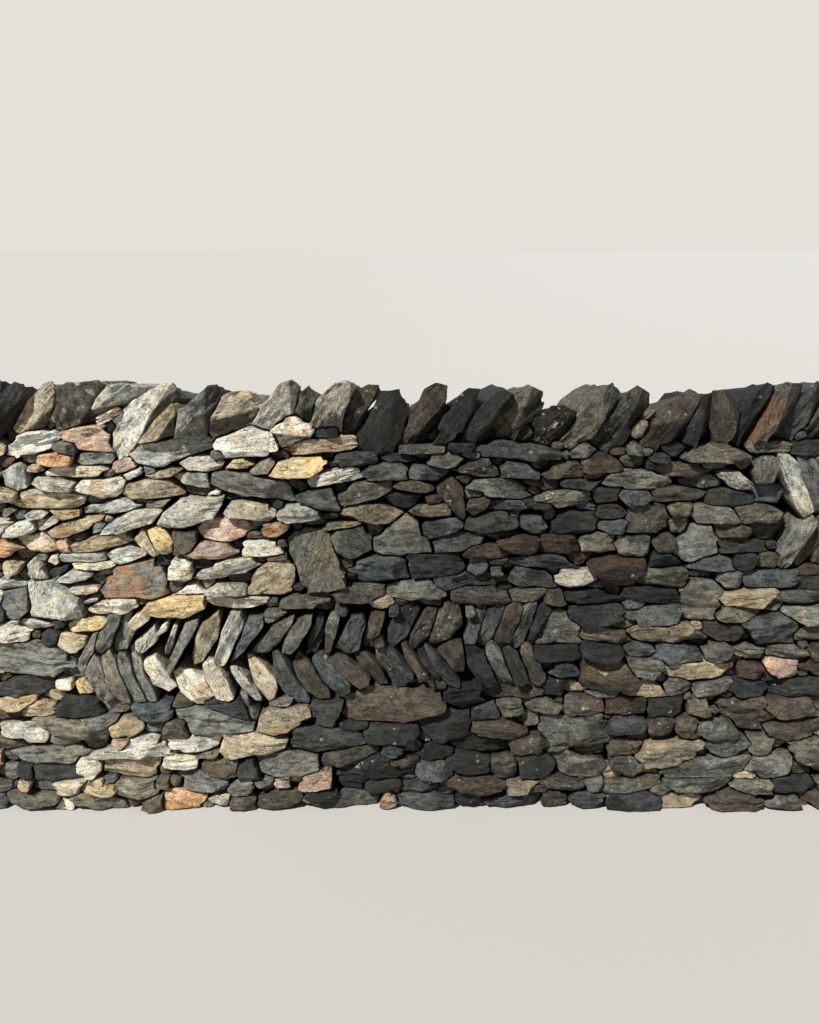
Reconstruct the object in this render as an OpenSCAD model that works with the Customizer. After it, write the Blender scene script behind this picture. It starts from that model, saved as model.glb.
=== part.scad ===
// Dry stone garden wall: a length of battered double wall in split slate, laid without mortar.
// Two faces of coursed stone stand either side of a hearting of packed rubble, on a wide footing.
// Panels of herringbone, with slabs leaning opposite ways in two rows, break the front face,
// a few tall jumpers tie its courses together, and leaning slabs on edge cope the top.
// X runs along the wall, the front face looks to -Y, and the origin is under the middle.

/* [Wall] */
// Length of wall that is built, end to end
wall_length = 3200; // [2600:50:3900]
// Height from the ground to the tips of the cope stones
wall_height = 1250; // [1040:10:1500]
// Thickness of the wall at the footing, front to back
footing_depth = 600; // [500:10:720]
// Height of the footing course
footing_height = 110; // [90:5:140]
// How far the courses stand back from each edge of the footing
footing_step = 18; // [8:1:30]
// Rise of the front face for one unit of lean
front_batter = 9; // [7:0.5:14]
// Rise of the back face for one unit of lean
back_batter = 40; // [25:1:80]

/* [Coursing] */
// Height of the lowest course, before the courses are fitted between footing and cope
low_course_height = 72; // [60:1:86]
// Height of the highest course, before the courses are fitted
high_course_height = 46; // [38:1:56]
// Usual length of a stone in the front face
front_stone_length = 150; // [110:5:200]
// Usual length of a stone in the back face
back_stone_length = 210; // [160:5:300]
// Usual length of a footing stone
footing_stone_length = 270; // [200:5:360]
// How far the joints are set in from the faces of the stones
joint_depth = 16; // [8:1:24]
// Width of the rounded edge along each stone
arris = 11; // [6:1:14]
// Most that a stone's face stands out past the line of the wall
face_bulge = 9; // [4:1:14]
// Distance from the middle of the wall to the back of the front face stones
hearting_front = 60; // [40:5:75]
// Distance from the middle of the wall to the back of the back face stones
hearting_back = 100; // [70:5:130]

/* [Herringbone] */
// Height of a panel of two rows, before it is fitted to the courses
panel_height = 315; // [250:5:380]
// Least height of the bed under the low panel
low_panel_bed = 315; // [180:5:380]
// Distance from the left end of the wall to the low panel
low_panel_start = 560; // [450:10:700]
// Length of the low panel
low_panel_length = 1270; // [1000:10:1530]
// Length of coursed wall between the low panel and the high one
pier_length = 610; // [480:10:740]
// Length of coursed wall between the high panel and the right end
end_pier_length = 120; // [90:5:150]
// Usual thickness of a herringbone slab
slab_thickness = 50; // [41:1:61]
// Lean of the slabs, from level
slab_lean = 62; // [52:1:72]

/* [Cope] */
// Height that the cope stones stand above their bed
cope_height = 170; // [140:5:205]
// Usual thickness of a cope stone
cope_thickness = 70; // [57:1:85]
// Lean of the cope stones, from level
cope_lean = 57; // [50:1:68]
// Length of a cope stone across the wall
cope_depth = 390; // [330:5:430]

/* [Jumpers] */
// Depth of a jumper behind the face of the wall
jumper_depth = 150; // [120:5:170]

/* [Hidden] */
// Gap that is left where one laid stone bears on the next
seat = 0.3;
// Shortest stone that is laid beside a panel or a jumper
least_stone = 35;
// Relative widths of the slabs in each row of a panel, from its left end, used over and over
upper_row_widths = [42, 40, 56, 57, 50, 65, 59, 61, 70, 60, 50, 49, 55, 75, 71, 59, 72, 66, 46, 43, 41];
lower_row_widths = [49, 34, 37, 70, 83, 66, 57, 64, 67, 54, 51, 54, 62, 68, 63, 53, 64, 60, 48, 44, 40];
// Relative widths and heights of the cope stones, from the left end, used over and over
cope_widths = [
    80, 92, 76, 85, 82, 75, 100, 100, 80, 55, 95, 110, 90, 80, 80, 52, 93, 100, 80,
    70, 95, 100, 100, 90, 115, 65, 75, 60, 75, 84, 72, 95, 66, 88, 78, 70, 85
];
cope_rises = [
    0.9, 0.95, 0.88, 1, 0.93, 0.98, 1, 1, 0.95, 0.75, 0.95, 0.88, 0.98, 0.97, 1, 1, 0.92, 0.95, 1,
    0.9, 0.92, 0.65, 0.92, 0.87, 0.85, 0.85, 0.92, 1, 1, 0.93, 0.9, 0.96, 0.88, 0.94, 0.98, 0.9, 0.95
];
// Points round the outline of a leaning or upright stone
outline_points = 16;
// Squareness of outlines: 2 is an ellipse, more is nearer to a rectangle
slab_squareness = 3;
jumper_squareness = 5;

half_length = wall_length / 2;
walling_height = wall_height - cope_height - footing_height;
course_count = max(6, round(2 * walling_height / (low_course_height + high_course_height)));
back_course_count = round(course_count / 2);

function sum(values) = len(values) == 0 ? 0 : values * [for (v = values) 1];

// Courses are graded: each is a little lower than the one under it
function grade(k, count) =
    low_course_height + (high_course_height - low_course_height) * (k - 1) / (count - 1);
function course_rise(k, count) =
    grade(k, count) * walling_height / sum([for (i = [1:count]) grade(i, count)]);
// Height of the bed under course k, where course 1 stands on the footing
function bed(k, count = course_count) =
    footing_height + sum([for (i = [1:1:k - 1]) course_rise(i, count)]);

// Line of each face at height z
function front_line(z) = -footing_depth / 2 + footing_step + (z - footing_height) / front_batter;
function back_line(z) = footing_depth / 2 - footing_step - (z - footing_height) / back_batter;

// A panel is [left end, right end, first course, last course, direction that the chevrons point]
low_panel_first = [for (k = [1:course_count]) if (bed(k) >= low_panel_bed) k][0];
low_panel_count = round(panel_height / course_rise(low_panel_first, course_count));
high_panel_last = course_count - 1;
high_panel_count = round(panel_height / course_rise(high_panel_last - 2, course_count));
low_panel_end = low_panel_start + low_panel_length;
low_panel = [
    low_panel_start - half_length,
    low_panel_end - half_length,
    low_panel_first,
    low_panel_first + low_panel_count - 1,
    -1
];
high_panel = [
    low_panel_end + pier_length - half_length,
    half_length - end_pier_length,
    high_panel_last - high_panel_count + 1,
    high_panel_last,
    1
];
panels = [low_panel, high_panel];

// A jumper is [distance from the left end, width, first course, courses that it rises through]
jumper_list = [
    [370, 260, 5, 2],
    [455, 135, 8, 3],
    [690, 185, 9, 2],
    [1185, 140, 9, 3],
    [1430, 150, 11, 2],
    [2050, 170, 3, 2],
    [2250, 130, 6, 3]
];
function overlaps(a, b) = a[0] < b[1] + least_stone && b[0] < a[1] + least_stone && a[2] <= b[3] && b[2] <= a[3];
jumpers = [
    for (j = jumper_list)
        let (
            left = j[0] - j[1] / 2 - half_length,
            place = [left, left + j[1], j[2], j[2] + j[3] - 1]
        )
        if (place[1] < half_length - least_stone
            && place[3] <= course_count
            && !overlaps(place, low_panel)
            && !overlaps(place, high_panel))
        place
];

// Places where course k of the front face is broken, from left to right
function sorted(list) = len(list) < 2 ? list : concat(
    sorted([for (i = [1:len(list) - 1]) if (list[i][0] < list[0][0]) list[i]]),
    [list[0]],
    sorted([for (i = [1:len(list) - 1]) if (list[i][0] >= list[0][0]) list[i]])
);
function breaks(k) = sorted([for (b = concat(panels, jumpers)) if (b[2] <= k && k <= b[3]) b]);
// Runs of stone that are left between the breaks, each [left end, right end]
function runs(k) =
    let (ends = concat(-half_length, [for (b = breaks(k)) each [b[0], b[1]]], half_length))
    [for (i = [0:2:len(ends) - 2]) if (ends[i + 1] - ends[i] >= least_stone) [ends[i], ends[i + 1]]];

// Widths of the stones that fill a run, none the same but all together as long as it
function stone_ends(run, usual, seed) =
    let (
        count = max(1, round((run[1] - run[0]) / usual)),
        shares = rands(0.65, 1.35, count, seed),
        scale = (run[1] - run[0]) / sum(shares)
    )
    [for (i = [0:count]) run[0] + scale * sum([for (j = [0:1:i - 1]) shares[j]])];

// Exposed edge of a run in plan, left to right: each stone swells out and falls back to its joints
function run_edge(run, usual, line, out, bulges, seed) =
    let (
        ends = stone_ends(run, usual, seed),
        bulge = rands(bulges[0], bulges[1], len(ends), seed + 1)
    )
    concat(
        [for (i = [0:len(ends) - 2]) each [
            [ends[i], line - out * joint_depth],
            [ends[i] + arris, line],
            [(ends[i] + ends[i + 1]) / 2, line + out * bulge[i]],
            [ends[i + 1] - arris, line]
        ]],
        [[run[1], line - out * joint_depth]]
    );
function reversed(list) = [for (i = [len(list) - 1:-1:0]) list[i]];

// Cross-section of a course from bed z0 to bed z1, with its exposed arrises rounded off
module course_section(z0, z1, line0, line1, inner, out) {
    polygon([
        [inner, z0],
        [line0 - out * joint_depth, z0],
        [line0 + out * face_bulge, z0 + arris],
        [line1 + out * face_bulge, z1 - arris],
        [line1 - out * joint_depth, z1],
        [inner, z1]
    ]);
}

module along_wall(x0, x1) {
    translate([x0, 0, 0]) rotate([90, 0, 90]) linear_extrude(x1 - x0) children();
}

// A run of face stones: its plan, raised through the course, meets the course's cross-section
module face_run(run, z0, z1, line0, line1, inner, out, usual, seed) {
    margin = 5;
    edge = run_edge(run, usual, (line0 + line1) / 2, out, [0, face_bulge], seed);
    intersection() {
        translate([0, 0, z0 - margin])
            linear_extrude(z1 - z0 + 2 * margin)
                polygon(concat(edge, [[run[1], inner], [run[0], inner]]));
        along_wall(run[0] - margin, run[1] + margin)
            course_section(z0, z1, line0, line1, inner - out * margin, out);
    }
}

module footing_course() {
    line = footing_depth / 2 - face_bulge;
    run = [-half_length, half_length];
    bulges = [face_bulge, face_bulge];
    color("dimgray")
        linear_extrude(footing_height)
            polygon(concat(
                run_edge(run, footing_stone_length, -line, -1, bulges, 11),
                reversed(run_edge(run, footing_stone_length, line, 1, bulges, 12))
            ));
}

module hearting() {
    color("darkslategray")
        translate([-half_length, -hearting_front, footing_height])
            cube([wall_length, hearting_front + hearting_back, walling_height]);
}

module front_course(k) {
    z0 = bed(k);
    z1 = bed(k + 1);
    color(k % 2 == 0 ? "gray" : "darkgray")
        for (run = runs(k))
            face_run(run, z0, z1, front_line(z0), front_line(z1), -hearting_front, -1,
                front_stone_length, 100 * k + round(run[0]));
}

module back_course(k) {
    z0 = bed(k, back_course_count);
    z1 = bed(k + 1, back_course_count);
    color(k % 2 == 0 ? "gray" : "slategray")
        face_run([-half_length, half_length], z0, z1, back_line(z0), back_line(z1), hearting_back, 1,
            back_stone_length, 100 * k + 7);
}

// Outline of a stone in elevation: a superellipse, turned to its lean
function superellipse(half_long, half_thick, squareness, lean) = [
    for (i = [0:outline_points - 1])
        let (
            t = 360 * i / outline_points,
            x = half_long * sign(cos(t)) * pow(abs(cos(t)), 2 / squareness),
            y = half_thick * sign(sin(t)) * pow(abs(sin(t)), 2 / squareness)
        )
        [x * cos(lean) - y * sin(lean), x * sin(lean) + y * cos(lean)]
];
// The same outline moved to centre x, and stretched to stand exactly between z0 and z1
function standing(outline, x, z0, z1) =
    let (
        heights = [for (p = outline) p[1]],
        low = min(heights),
        scale = (z1 - z0) / (max(heights) - low)
    )
    [for (p = outline) [x + p[0], z0 + (p[1] - low) * scale]];

// Half the length that brings a leaning outline to the height half_rise above its middle
function half_long_for(half_rise, half_thick, squareness, lean) =
    let (dual = squareness / (squareness - 1))
    pow(pow(half_rise, dual) - pow(half_thick * abs(cos(lean)), dual), 1 / dual) / sin(lean);

function shrunk(outline, share) =
    let (middle = [for (axis = [0, 1]) sum([for (p = outline) p[axis]]) / len(outline)])
    [for (p = outline) middle + share * (p - middle)];

// A stone lofted through rings of its outline. Each ring is [share of the outline, points in space]
module lofted(rings) {
    n = len(rings[0]);
    last = len(rings) - 1;
    polyhedron(
        points = [for (ring = rings) each ring],
        faces = concat(
            [[for (i = [0:n - 1]) i]],
            [for (r = [0:last - 1], i = [0:n - 1])
                let (a = r * n + i, b = r * n + (i + 1) % n)
                each [[a, a + n, b], [b, a + n, b + n]]],
            [[for (i = [n - 1:-1:0]) last * n + i]]
        )
    );
}

// Rings of a stone whose front follows the batter of the wall, and whose back stands at depth y1
function battered_rings(outline, swell, y1) = [
    [for (p = shrunk(outline, 0.62)) [p[0], front_line(p[1]) - swell, p[1]]],
    [for (p = shrunk(outline, 0.9)) [p[0], front_line(p[1]) - 0.4 * swell, p[1]]],
    [for (p = outline) [p[0], front_line(p[1]) + joint_depth, p[1]]],
    [for (p = outline) [p[0], y1, p[1]]]
];

// One row of herringbone between beds z0 and z1. A lean over 90 degrees leans to the left
module leaning_row(x0, x1, z0, z1, lean, widths, seed) {
    rise = z1 - z0 - 2 * seat;
    // Level distance that a slab covers as it rises, with the half-slab at each end of the row
    reach = rise / abs(tan(lean));
    room = x1 - x0 - reach - 2 * seat;
    count = max(1, round(room * sin(lean) / (slab_thickness + 2 * seat)));
    shares = [for (i = [0:count - 1]) widths[i % len(widths)]];
    swells = rands(0, face_bulge, count, seed);
    // Widths along the row, scaled so that the slabs fill it face to face
    pitch = [for (s = shares) s * room / sum(shares)];
    for (i = [0:count - 1]) {
        thickness = pitch[i] * sin(lean) - 2 * seat;
        centre = x0 + seat + reach / 2 + sum([for (j = [0:1:i - 1]) pitch[j]]) + pitch[i] / 2;
        half_long = half_long_for(rise / 2, thickness / 2, slab_squareness, lean);
        outline = superellipse(half_long, thickness / 2, slab_squareness, lean);
        lofted(battered_rings(standing(outline, centre, z0 + seat, z1 - seat), swells[i],
            -hearting_front - seat));
    }
    // A wedge fills the triangle that is left at each end
    foot = lean < 90 ? [z1, z0] : [z0, z1];
    wedge_stone([x0, foot[0]], [x0, foot[1]], [x0 + reach, foot[0]]);
    wedge_stone([x1, foot[1]], [x1, foot[0]], [x1 - reach, foot[1]]);
}

// Corners are the square one, the one up or down from it, and the one along the bed
module wedge_stone(square_corner, up, along) {
    corners = shrunk([square_corner, up, along], 0.84);
    round_off = 0.2;
    outline = [for (i = [0:2])
        let (a = corners[i], before = corners[(i + 2) % 3], after = corners[(i + 1) % 3])
        each [a + round_off * (before - a), a + round_off * (after - a)]];
    middle = [for (axis = [0, 1]) sum([for (p = outline) p[axis]]) / len(outline)];
    turn = cross(outline[0] - middle, outline[1] - middle);
    lofted(battered_rings(turn > 0 ? outline : reversed(outline), 0, -hearting_front - seat));
}

module herringbone_row(panel, upper) {
    z0 = bed(panel[2]);
    z1 = bed(panel[3] + 1);
    middle = (z0 + z1) / 2;
    leans_right = (panel[4] < 0) == upper;
    color(upper ? "lightslategray" : "slategray")
        leaning_row(panel[0], panel[1], upper ? middle : z0, upper ? z1 : middle,
            leans_right ? slab_lean : 180 - slab_lean, upper ? upper_row_widths : lower_row_widths,
            40 * panel[2] + (upper ? 1 : 0));
}

module jumper_stones() {
    color("silver")
        for (i = [0:len(jumpers) - 1]) {
            j = jumpers[i];
            z0 = bed(j[2]) + seat;
            z1 = bed(j[3] + 1) - seat;
            middle = (j[0] + j[1]) / 2;
            outline = superellipse((j[1] - j[0]) / 2 - seat, (z1 - z0) / 2, jumper_squareness, 0);
            back = min(-hearting_front - seat, front_line(z0) + jumper_depth);
            lofted(battered_rings(standing(outline, middle, z0, z1), face_bulge, back));
        }
}

// The cope runs from the left end to the upright stone that it leans on at the right end
cope_bed = bed(course_count + 1);
cope_sink = 0.2 * cope_thickness;
cope_reach = cope_height / tan(cope_lean);
cope_room = wall_length - cope_reach;
cope_count = round(cope_room * sin(cope_lean) / cope_thickness);
cope_shares = [for (i = [0:cope_count - 1]) cope_widths[i % len(cope_widths)]];
cope_depths = rands(0.85, 1, cope_count, 8);
function cope_pitch(i) = cope_shares[i] * cope_room / sum(cope_shares);
function cope_left(i) = -half_length + sum([for (j = [0:1:i - 1]) cope_pitch(j)]);

// Rings of a cope stone, which shows on every side
function cope_rings(outline, y0, y1) = [
    [for (p = shrunk(outline, 0.7)) [p[0], y0, p[1]]],
    [for (p = outline) [p[0], y0 + 1.4 * arris, p[1]]],
    [for (p = outline) [p[0], y1 - 1.4 * arris, p[1]]],
    [for (p = shrunk(outline, 0.7)) [p[0], y1, p[1]]]
];

module cope_stone(i) {
    thickness = cope_pitch(i) * sin(cope_lean) - 2 * seat;
    rise = cope_height * cope_rises[i % len(cope_rises)];
    // The slab is set a little deeper than its bed, and its foot is cut level there
    half_rise = (rise + cope_sink) / 2;
    half_long = half_long_for(half_rise, thickness / 2, slab_squareness, cope_lean);
    slab = superellipse(half_long, thickness / 2, slab_squareness, cope_lean);
    centre = cope_left(i) + cope_pitch(i) / 2 + (half_rise - cope_sink) / tan(cope_lean);
    placed = standing(slab, centre, cope_bed - cope_sink, cope_bed + rise);
    y0 = front_line(cope_bed) - face_bulge / 2;
    lofted(cope_rings([for (p = placed) [p[0], max(p[1], cope_bed)]], y0, y0 + cope_depth * cope_depths[i]));
}

module cope_stones(first, last) {
    color("darkgray") for (i = [first:last]) cope_stone(i);
}

// Upright stone at the right end, with one side raked to carry the last leaning stone
module cope_end_stone() {
    y0 = front_line(cope_bed) - face_bulge / 2;
    rise = 0.8 * cope_height;
    foot = half_length - cope_reach + 2 * seat;
    outline = [
        [foot, cope_bed],
        [half_length - arris, cope_bed],
        [half_length, cope_bed + arris],
        [half_length, cope_bed + rise - arris],
        [half_length - arris / 2, cope_bed + rise],
        [foot + rise / tan(cope_lean), cope_bed + rise]
    ];
    color("silver") lofted(cope_rings(outline, y0, y0 + cope_depth));
}

half_cope = floor(cope_count / 2);

footing_course();
hearting();
for (k = [1:course_count])
    front_course(k);
for (k = [1:back_course_count])
    back_course(k);
herringbone_row(low_panel, false);  // low_panel_lower_row
herringbone_row(low_panel, true);  // low_panel_upper_row
herringbone_row(high_panel, false);  // high_panel_lower_row
herringbone_row(high_panel, true);  // high_panel_upper_row
jumper_stones();
cope_stones(0, half_cope - 1);  // cope_stones_left
cope_stones(half_cope, cope_count - 1);  // cope_stones_right
cope_end_stone();
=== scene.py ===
# Dry stone wall: split slate and schist laid without mortar, with two herringbone panels
# in its coursed face and a cope of slabs on edge. Every stone is its own closed surface.
import math
import bpy
import numpy as np
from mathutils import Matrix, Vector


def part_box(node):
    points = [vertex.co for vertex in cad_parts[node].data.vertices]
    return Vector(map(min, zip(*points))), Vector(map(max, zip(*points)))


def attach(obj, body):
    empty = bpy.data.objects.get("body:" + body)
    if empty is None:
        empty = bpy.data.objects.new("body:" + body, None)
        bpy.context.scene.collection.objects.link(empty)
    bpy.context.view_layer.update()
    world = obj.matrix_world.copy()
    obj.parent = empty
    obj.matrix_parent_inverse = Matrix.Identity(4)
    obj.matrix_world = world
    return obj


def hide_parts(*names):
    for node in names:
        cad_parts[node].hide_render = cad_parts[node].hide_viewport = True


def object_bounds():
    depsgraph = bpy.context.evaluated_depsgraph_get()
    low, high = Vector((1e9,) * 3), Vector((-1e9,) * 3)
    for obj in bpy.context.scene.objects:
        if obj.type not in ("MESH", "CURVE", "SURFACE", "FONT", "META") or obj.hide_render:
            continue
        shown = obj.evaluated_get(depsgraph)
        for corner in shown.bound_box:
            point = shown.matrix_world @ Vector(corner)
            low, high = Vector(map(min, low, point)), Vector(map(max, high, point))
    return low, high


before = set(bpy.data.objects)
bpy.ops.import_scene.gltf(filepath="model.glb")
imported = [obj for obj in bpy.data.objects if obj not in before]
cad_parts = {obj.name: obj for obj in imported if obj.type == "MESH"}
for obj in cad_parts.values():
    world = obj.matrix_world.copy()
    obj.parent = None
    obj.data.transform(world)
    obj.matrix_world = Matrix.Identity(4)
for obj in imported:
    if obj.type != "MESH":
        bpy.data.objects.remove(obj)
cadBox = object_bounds()
mm = 0.001
print("frame loaded, wall", [round(b - a, 3) for a, b in zip(*cadBox)])

# camera
view = dict(
    place=(-0.150, -2.3645, 1.62),  # eye level, two steps back from the foot of the wall
    lookDown=18.5,                  # degrees below level
    lens=29.88,
    sensor=36,
)
cameraData = bpy.data.cameras.new("camera")
cameraData.lens = view["lens"]
cameraData.sensor_width = view["sensor"]
camera = bpy.data.objects.new("camera", cameraData)
camera.location = view["place"]
camera.rotation_euler = (math.radians(90 - view["lookDown"]), 0, 0)
bpy.context.scene.collection.objects.link(camera)
bpy.context.scene.camera = camera

# the wall's own sizes
courses = [f"front_course_{k}" for k in range(1, 17)]
backCourses = [f"back_course_{k}" for k in range(1, 9)]
halfLength = cadBox[1][0]
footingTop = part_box("footing_course")[1][2]
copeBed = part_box("front_course_16")[1][2]
walling = dict(
    footDepth=0.3,       # from the middle of the wall to the edge of the footing
    footingInset=0.014,  # keeps the roughness of the footing inside that edge
    step=0.018,          # how far the courses stand back from it
    frontBatter=9,       # height over how far a face leans in
    backBatter=40,
    joint=3.4 * mm,      # clear width where two stones meet
    growth=1.1,          # how far a stone may swell past its own outline to meet the next
    copeGrowth=1.22,     # the same for the cope, sideways and down
    headGrowth=1.02,     # and up
    heartFront=-0.062,   # the front stones reach in to here, and the back stones to the next value
    heartBack=0.098,
)


def faceLine(z, batter):
    # how far a face stands from the wall's middle: the footing's depth less its inset, and above it
    # the depth less a step and less the height over the batter
    z = np.asarray(z, float)
    return np.where(z < footingTop, walling["footDepth"] - walling["footingInset"],
                    walling["footDepth"] - walling["step"] - (z - footingTop) / batter)


# stones of the front face
# Each stone is middle x and z, width, height in mm, tilt in degrees anticlockwise, and for some
# a taper: 0.8 narrows the head to a fifth, -0.8 the foot.
faceStones = dict(
    cream=[(-815, 152, 95, 38, 0), (-1140, 75, 90, 45, 0), (-1156, 8, 54, 50, 0), (-945, 1150, 78, 25, 30)],
    buff=[(-1268, 84, 36, 32, 0)],
    ochre=[(-1265, 340, 130, 50, 5)],
    rust=[(-815, 32, 115, 75, -20)],
    pink=[(-520, 90, 50, 38, 0), (-420, 100, 95, 48, 15), (-975, 215, 50, 70, 0)],
    brown=[
        (-765, 805, 65, 65, 0), (88, 720, 45, 40, 0), (580, 1003, 155, 34, 0), (-178, 158, 110, 25, 0),
        (-873, 86, 47, 42, 0), (-900, 21, 63, 60, 0),
    ],
    grey=[
        (-833, 912, 60, 22, 3), (-745, 90, 135, 65, -5), (-640, 72, 85, 55, 10), (-575, 92, 60, 25, 0),
        (-1200, 170, 220, 60, 0), (453, 1058, 38, 34, 0), (-665, 1040, 35, 32, 0),
    ],
    palegrey=[(-1250, 245, 150, 55, 0), (-705, 28, 70, 40, 0)],
    slate=[(305, 965, 90, 30, 0), (67, 305, 82, 53, 0), (-885, 310, 110, 55, 0)],
    dark=[
        (-450, 966, 50, 28, -30), (-1122, 577, 32, 25, 0), (96, 753, 60, 22, 0), (200, 910, 80, 23, 0),
        (497, 1015, 30, 25, 0), (523, 1036, 50, 24, 0), (5, 350, 120, 80, 10, -0.6), (-40, 260, 150, 105, 0),
        (-252, 212, 35, 15, 0), (30, 152, 125, 75, 0), (-310, 92, 95, 60, 0), (-408, 50, 90, 45, 0),
        (-1230, 395, 150, 50, 0), (-1265, 125, 45, 45, 0), (-1170, 120, 150, 45, 0), (-370, 1108, 75, 30, 5),
        (-75, 182, 115, 55, 0),
    ],
)
# Larger stones where the face can't be seen
largeStones = dict(
    grey=[
        (645, 800, 110, 105, 5, 0.3), (250, 560, 150, 100, 3), (1090, 640, 130, 105, -4),
        (330, 250, 190, 90, 2), (-1420, 640, 150, 100, 0),
    ],
    brown=[
        (420, 420, 170, 90, -3), (820, 300, 150, 110, 0), (1540, 930, 90, 105, 0), (-1530, 420, 120, 90, 2),
    ],
    olive=[(650, 640, 135, 120, 4, 0.2), (1060, 180, 200, 85, 0), (500, 870, 120, 85, -5)],
    slate=[(860, 560, 160, 85, 2), (1330, 230, 160, 105, -2), (-1440, 230, 180, 80, 0)],
    buff=[(1290, 480, 180, 90, 4), (590, 180, 170, 85, 0)],
    redbrown=[(420, 725, 165, 75, -3)],
    palegrey=[(1505, 620, 150, 110, -3), (-1500, 950, 140, 80, 4)],
    dark=[(1520, 330, 130, 120, 0, -0.2), (300, 860, 120, 70, 0), (-1380, 1010, 120, 56, 0)],
)
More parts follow.
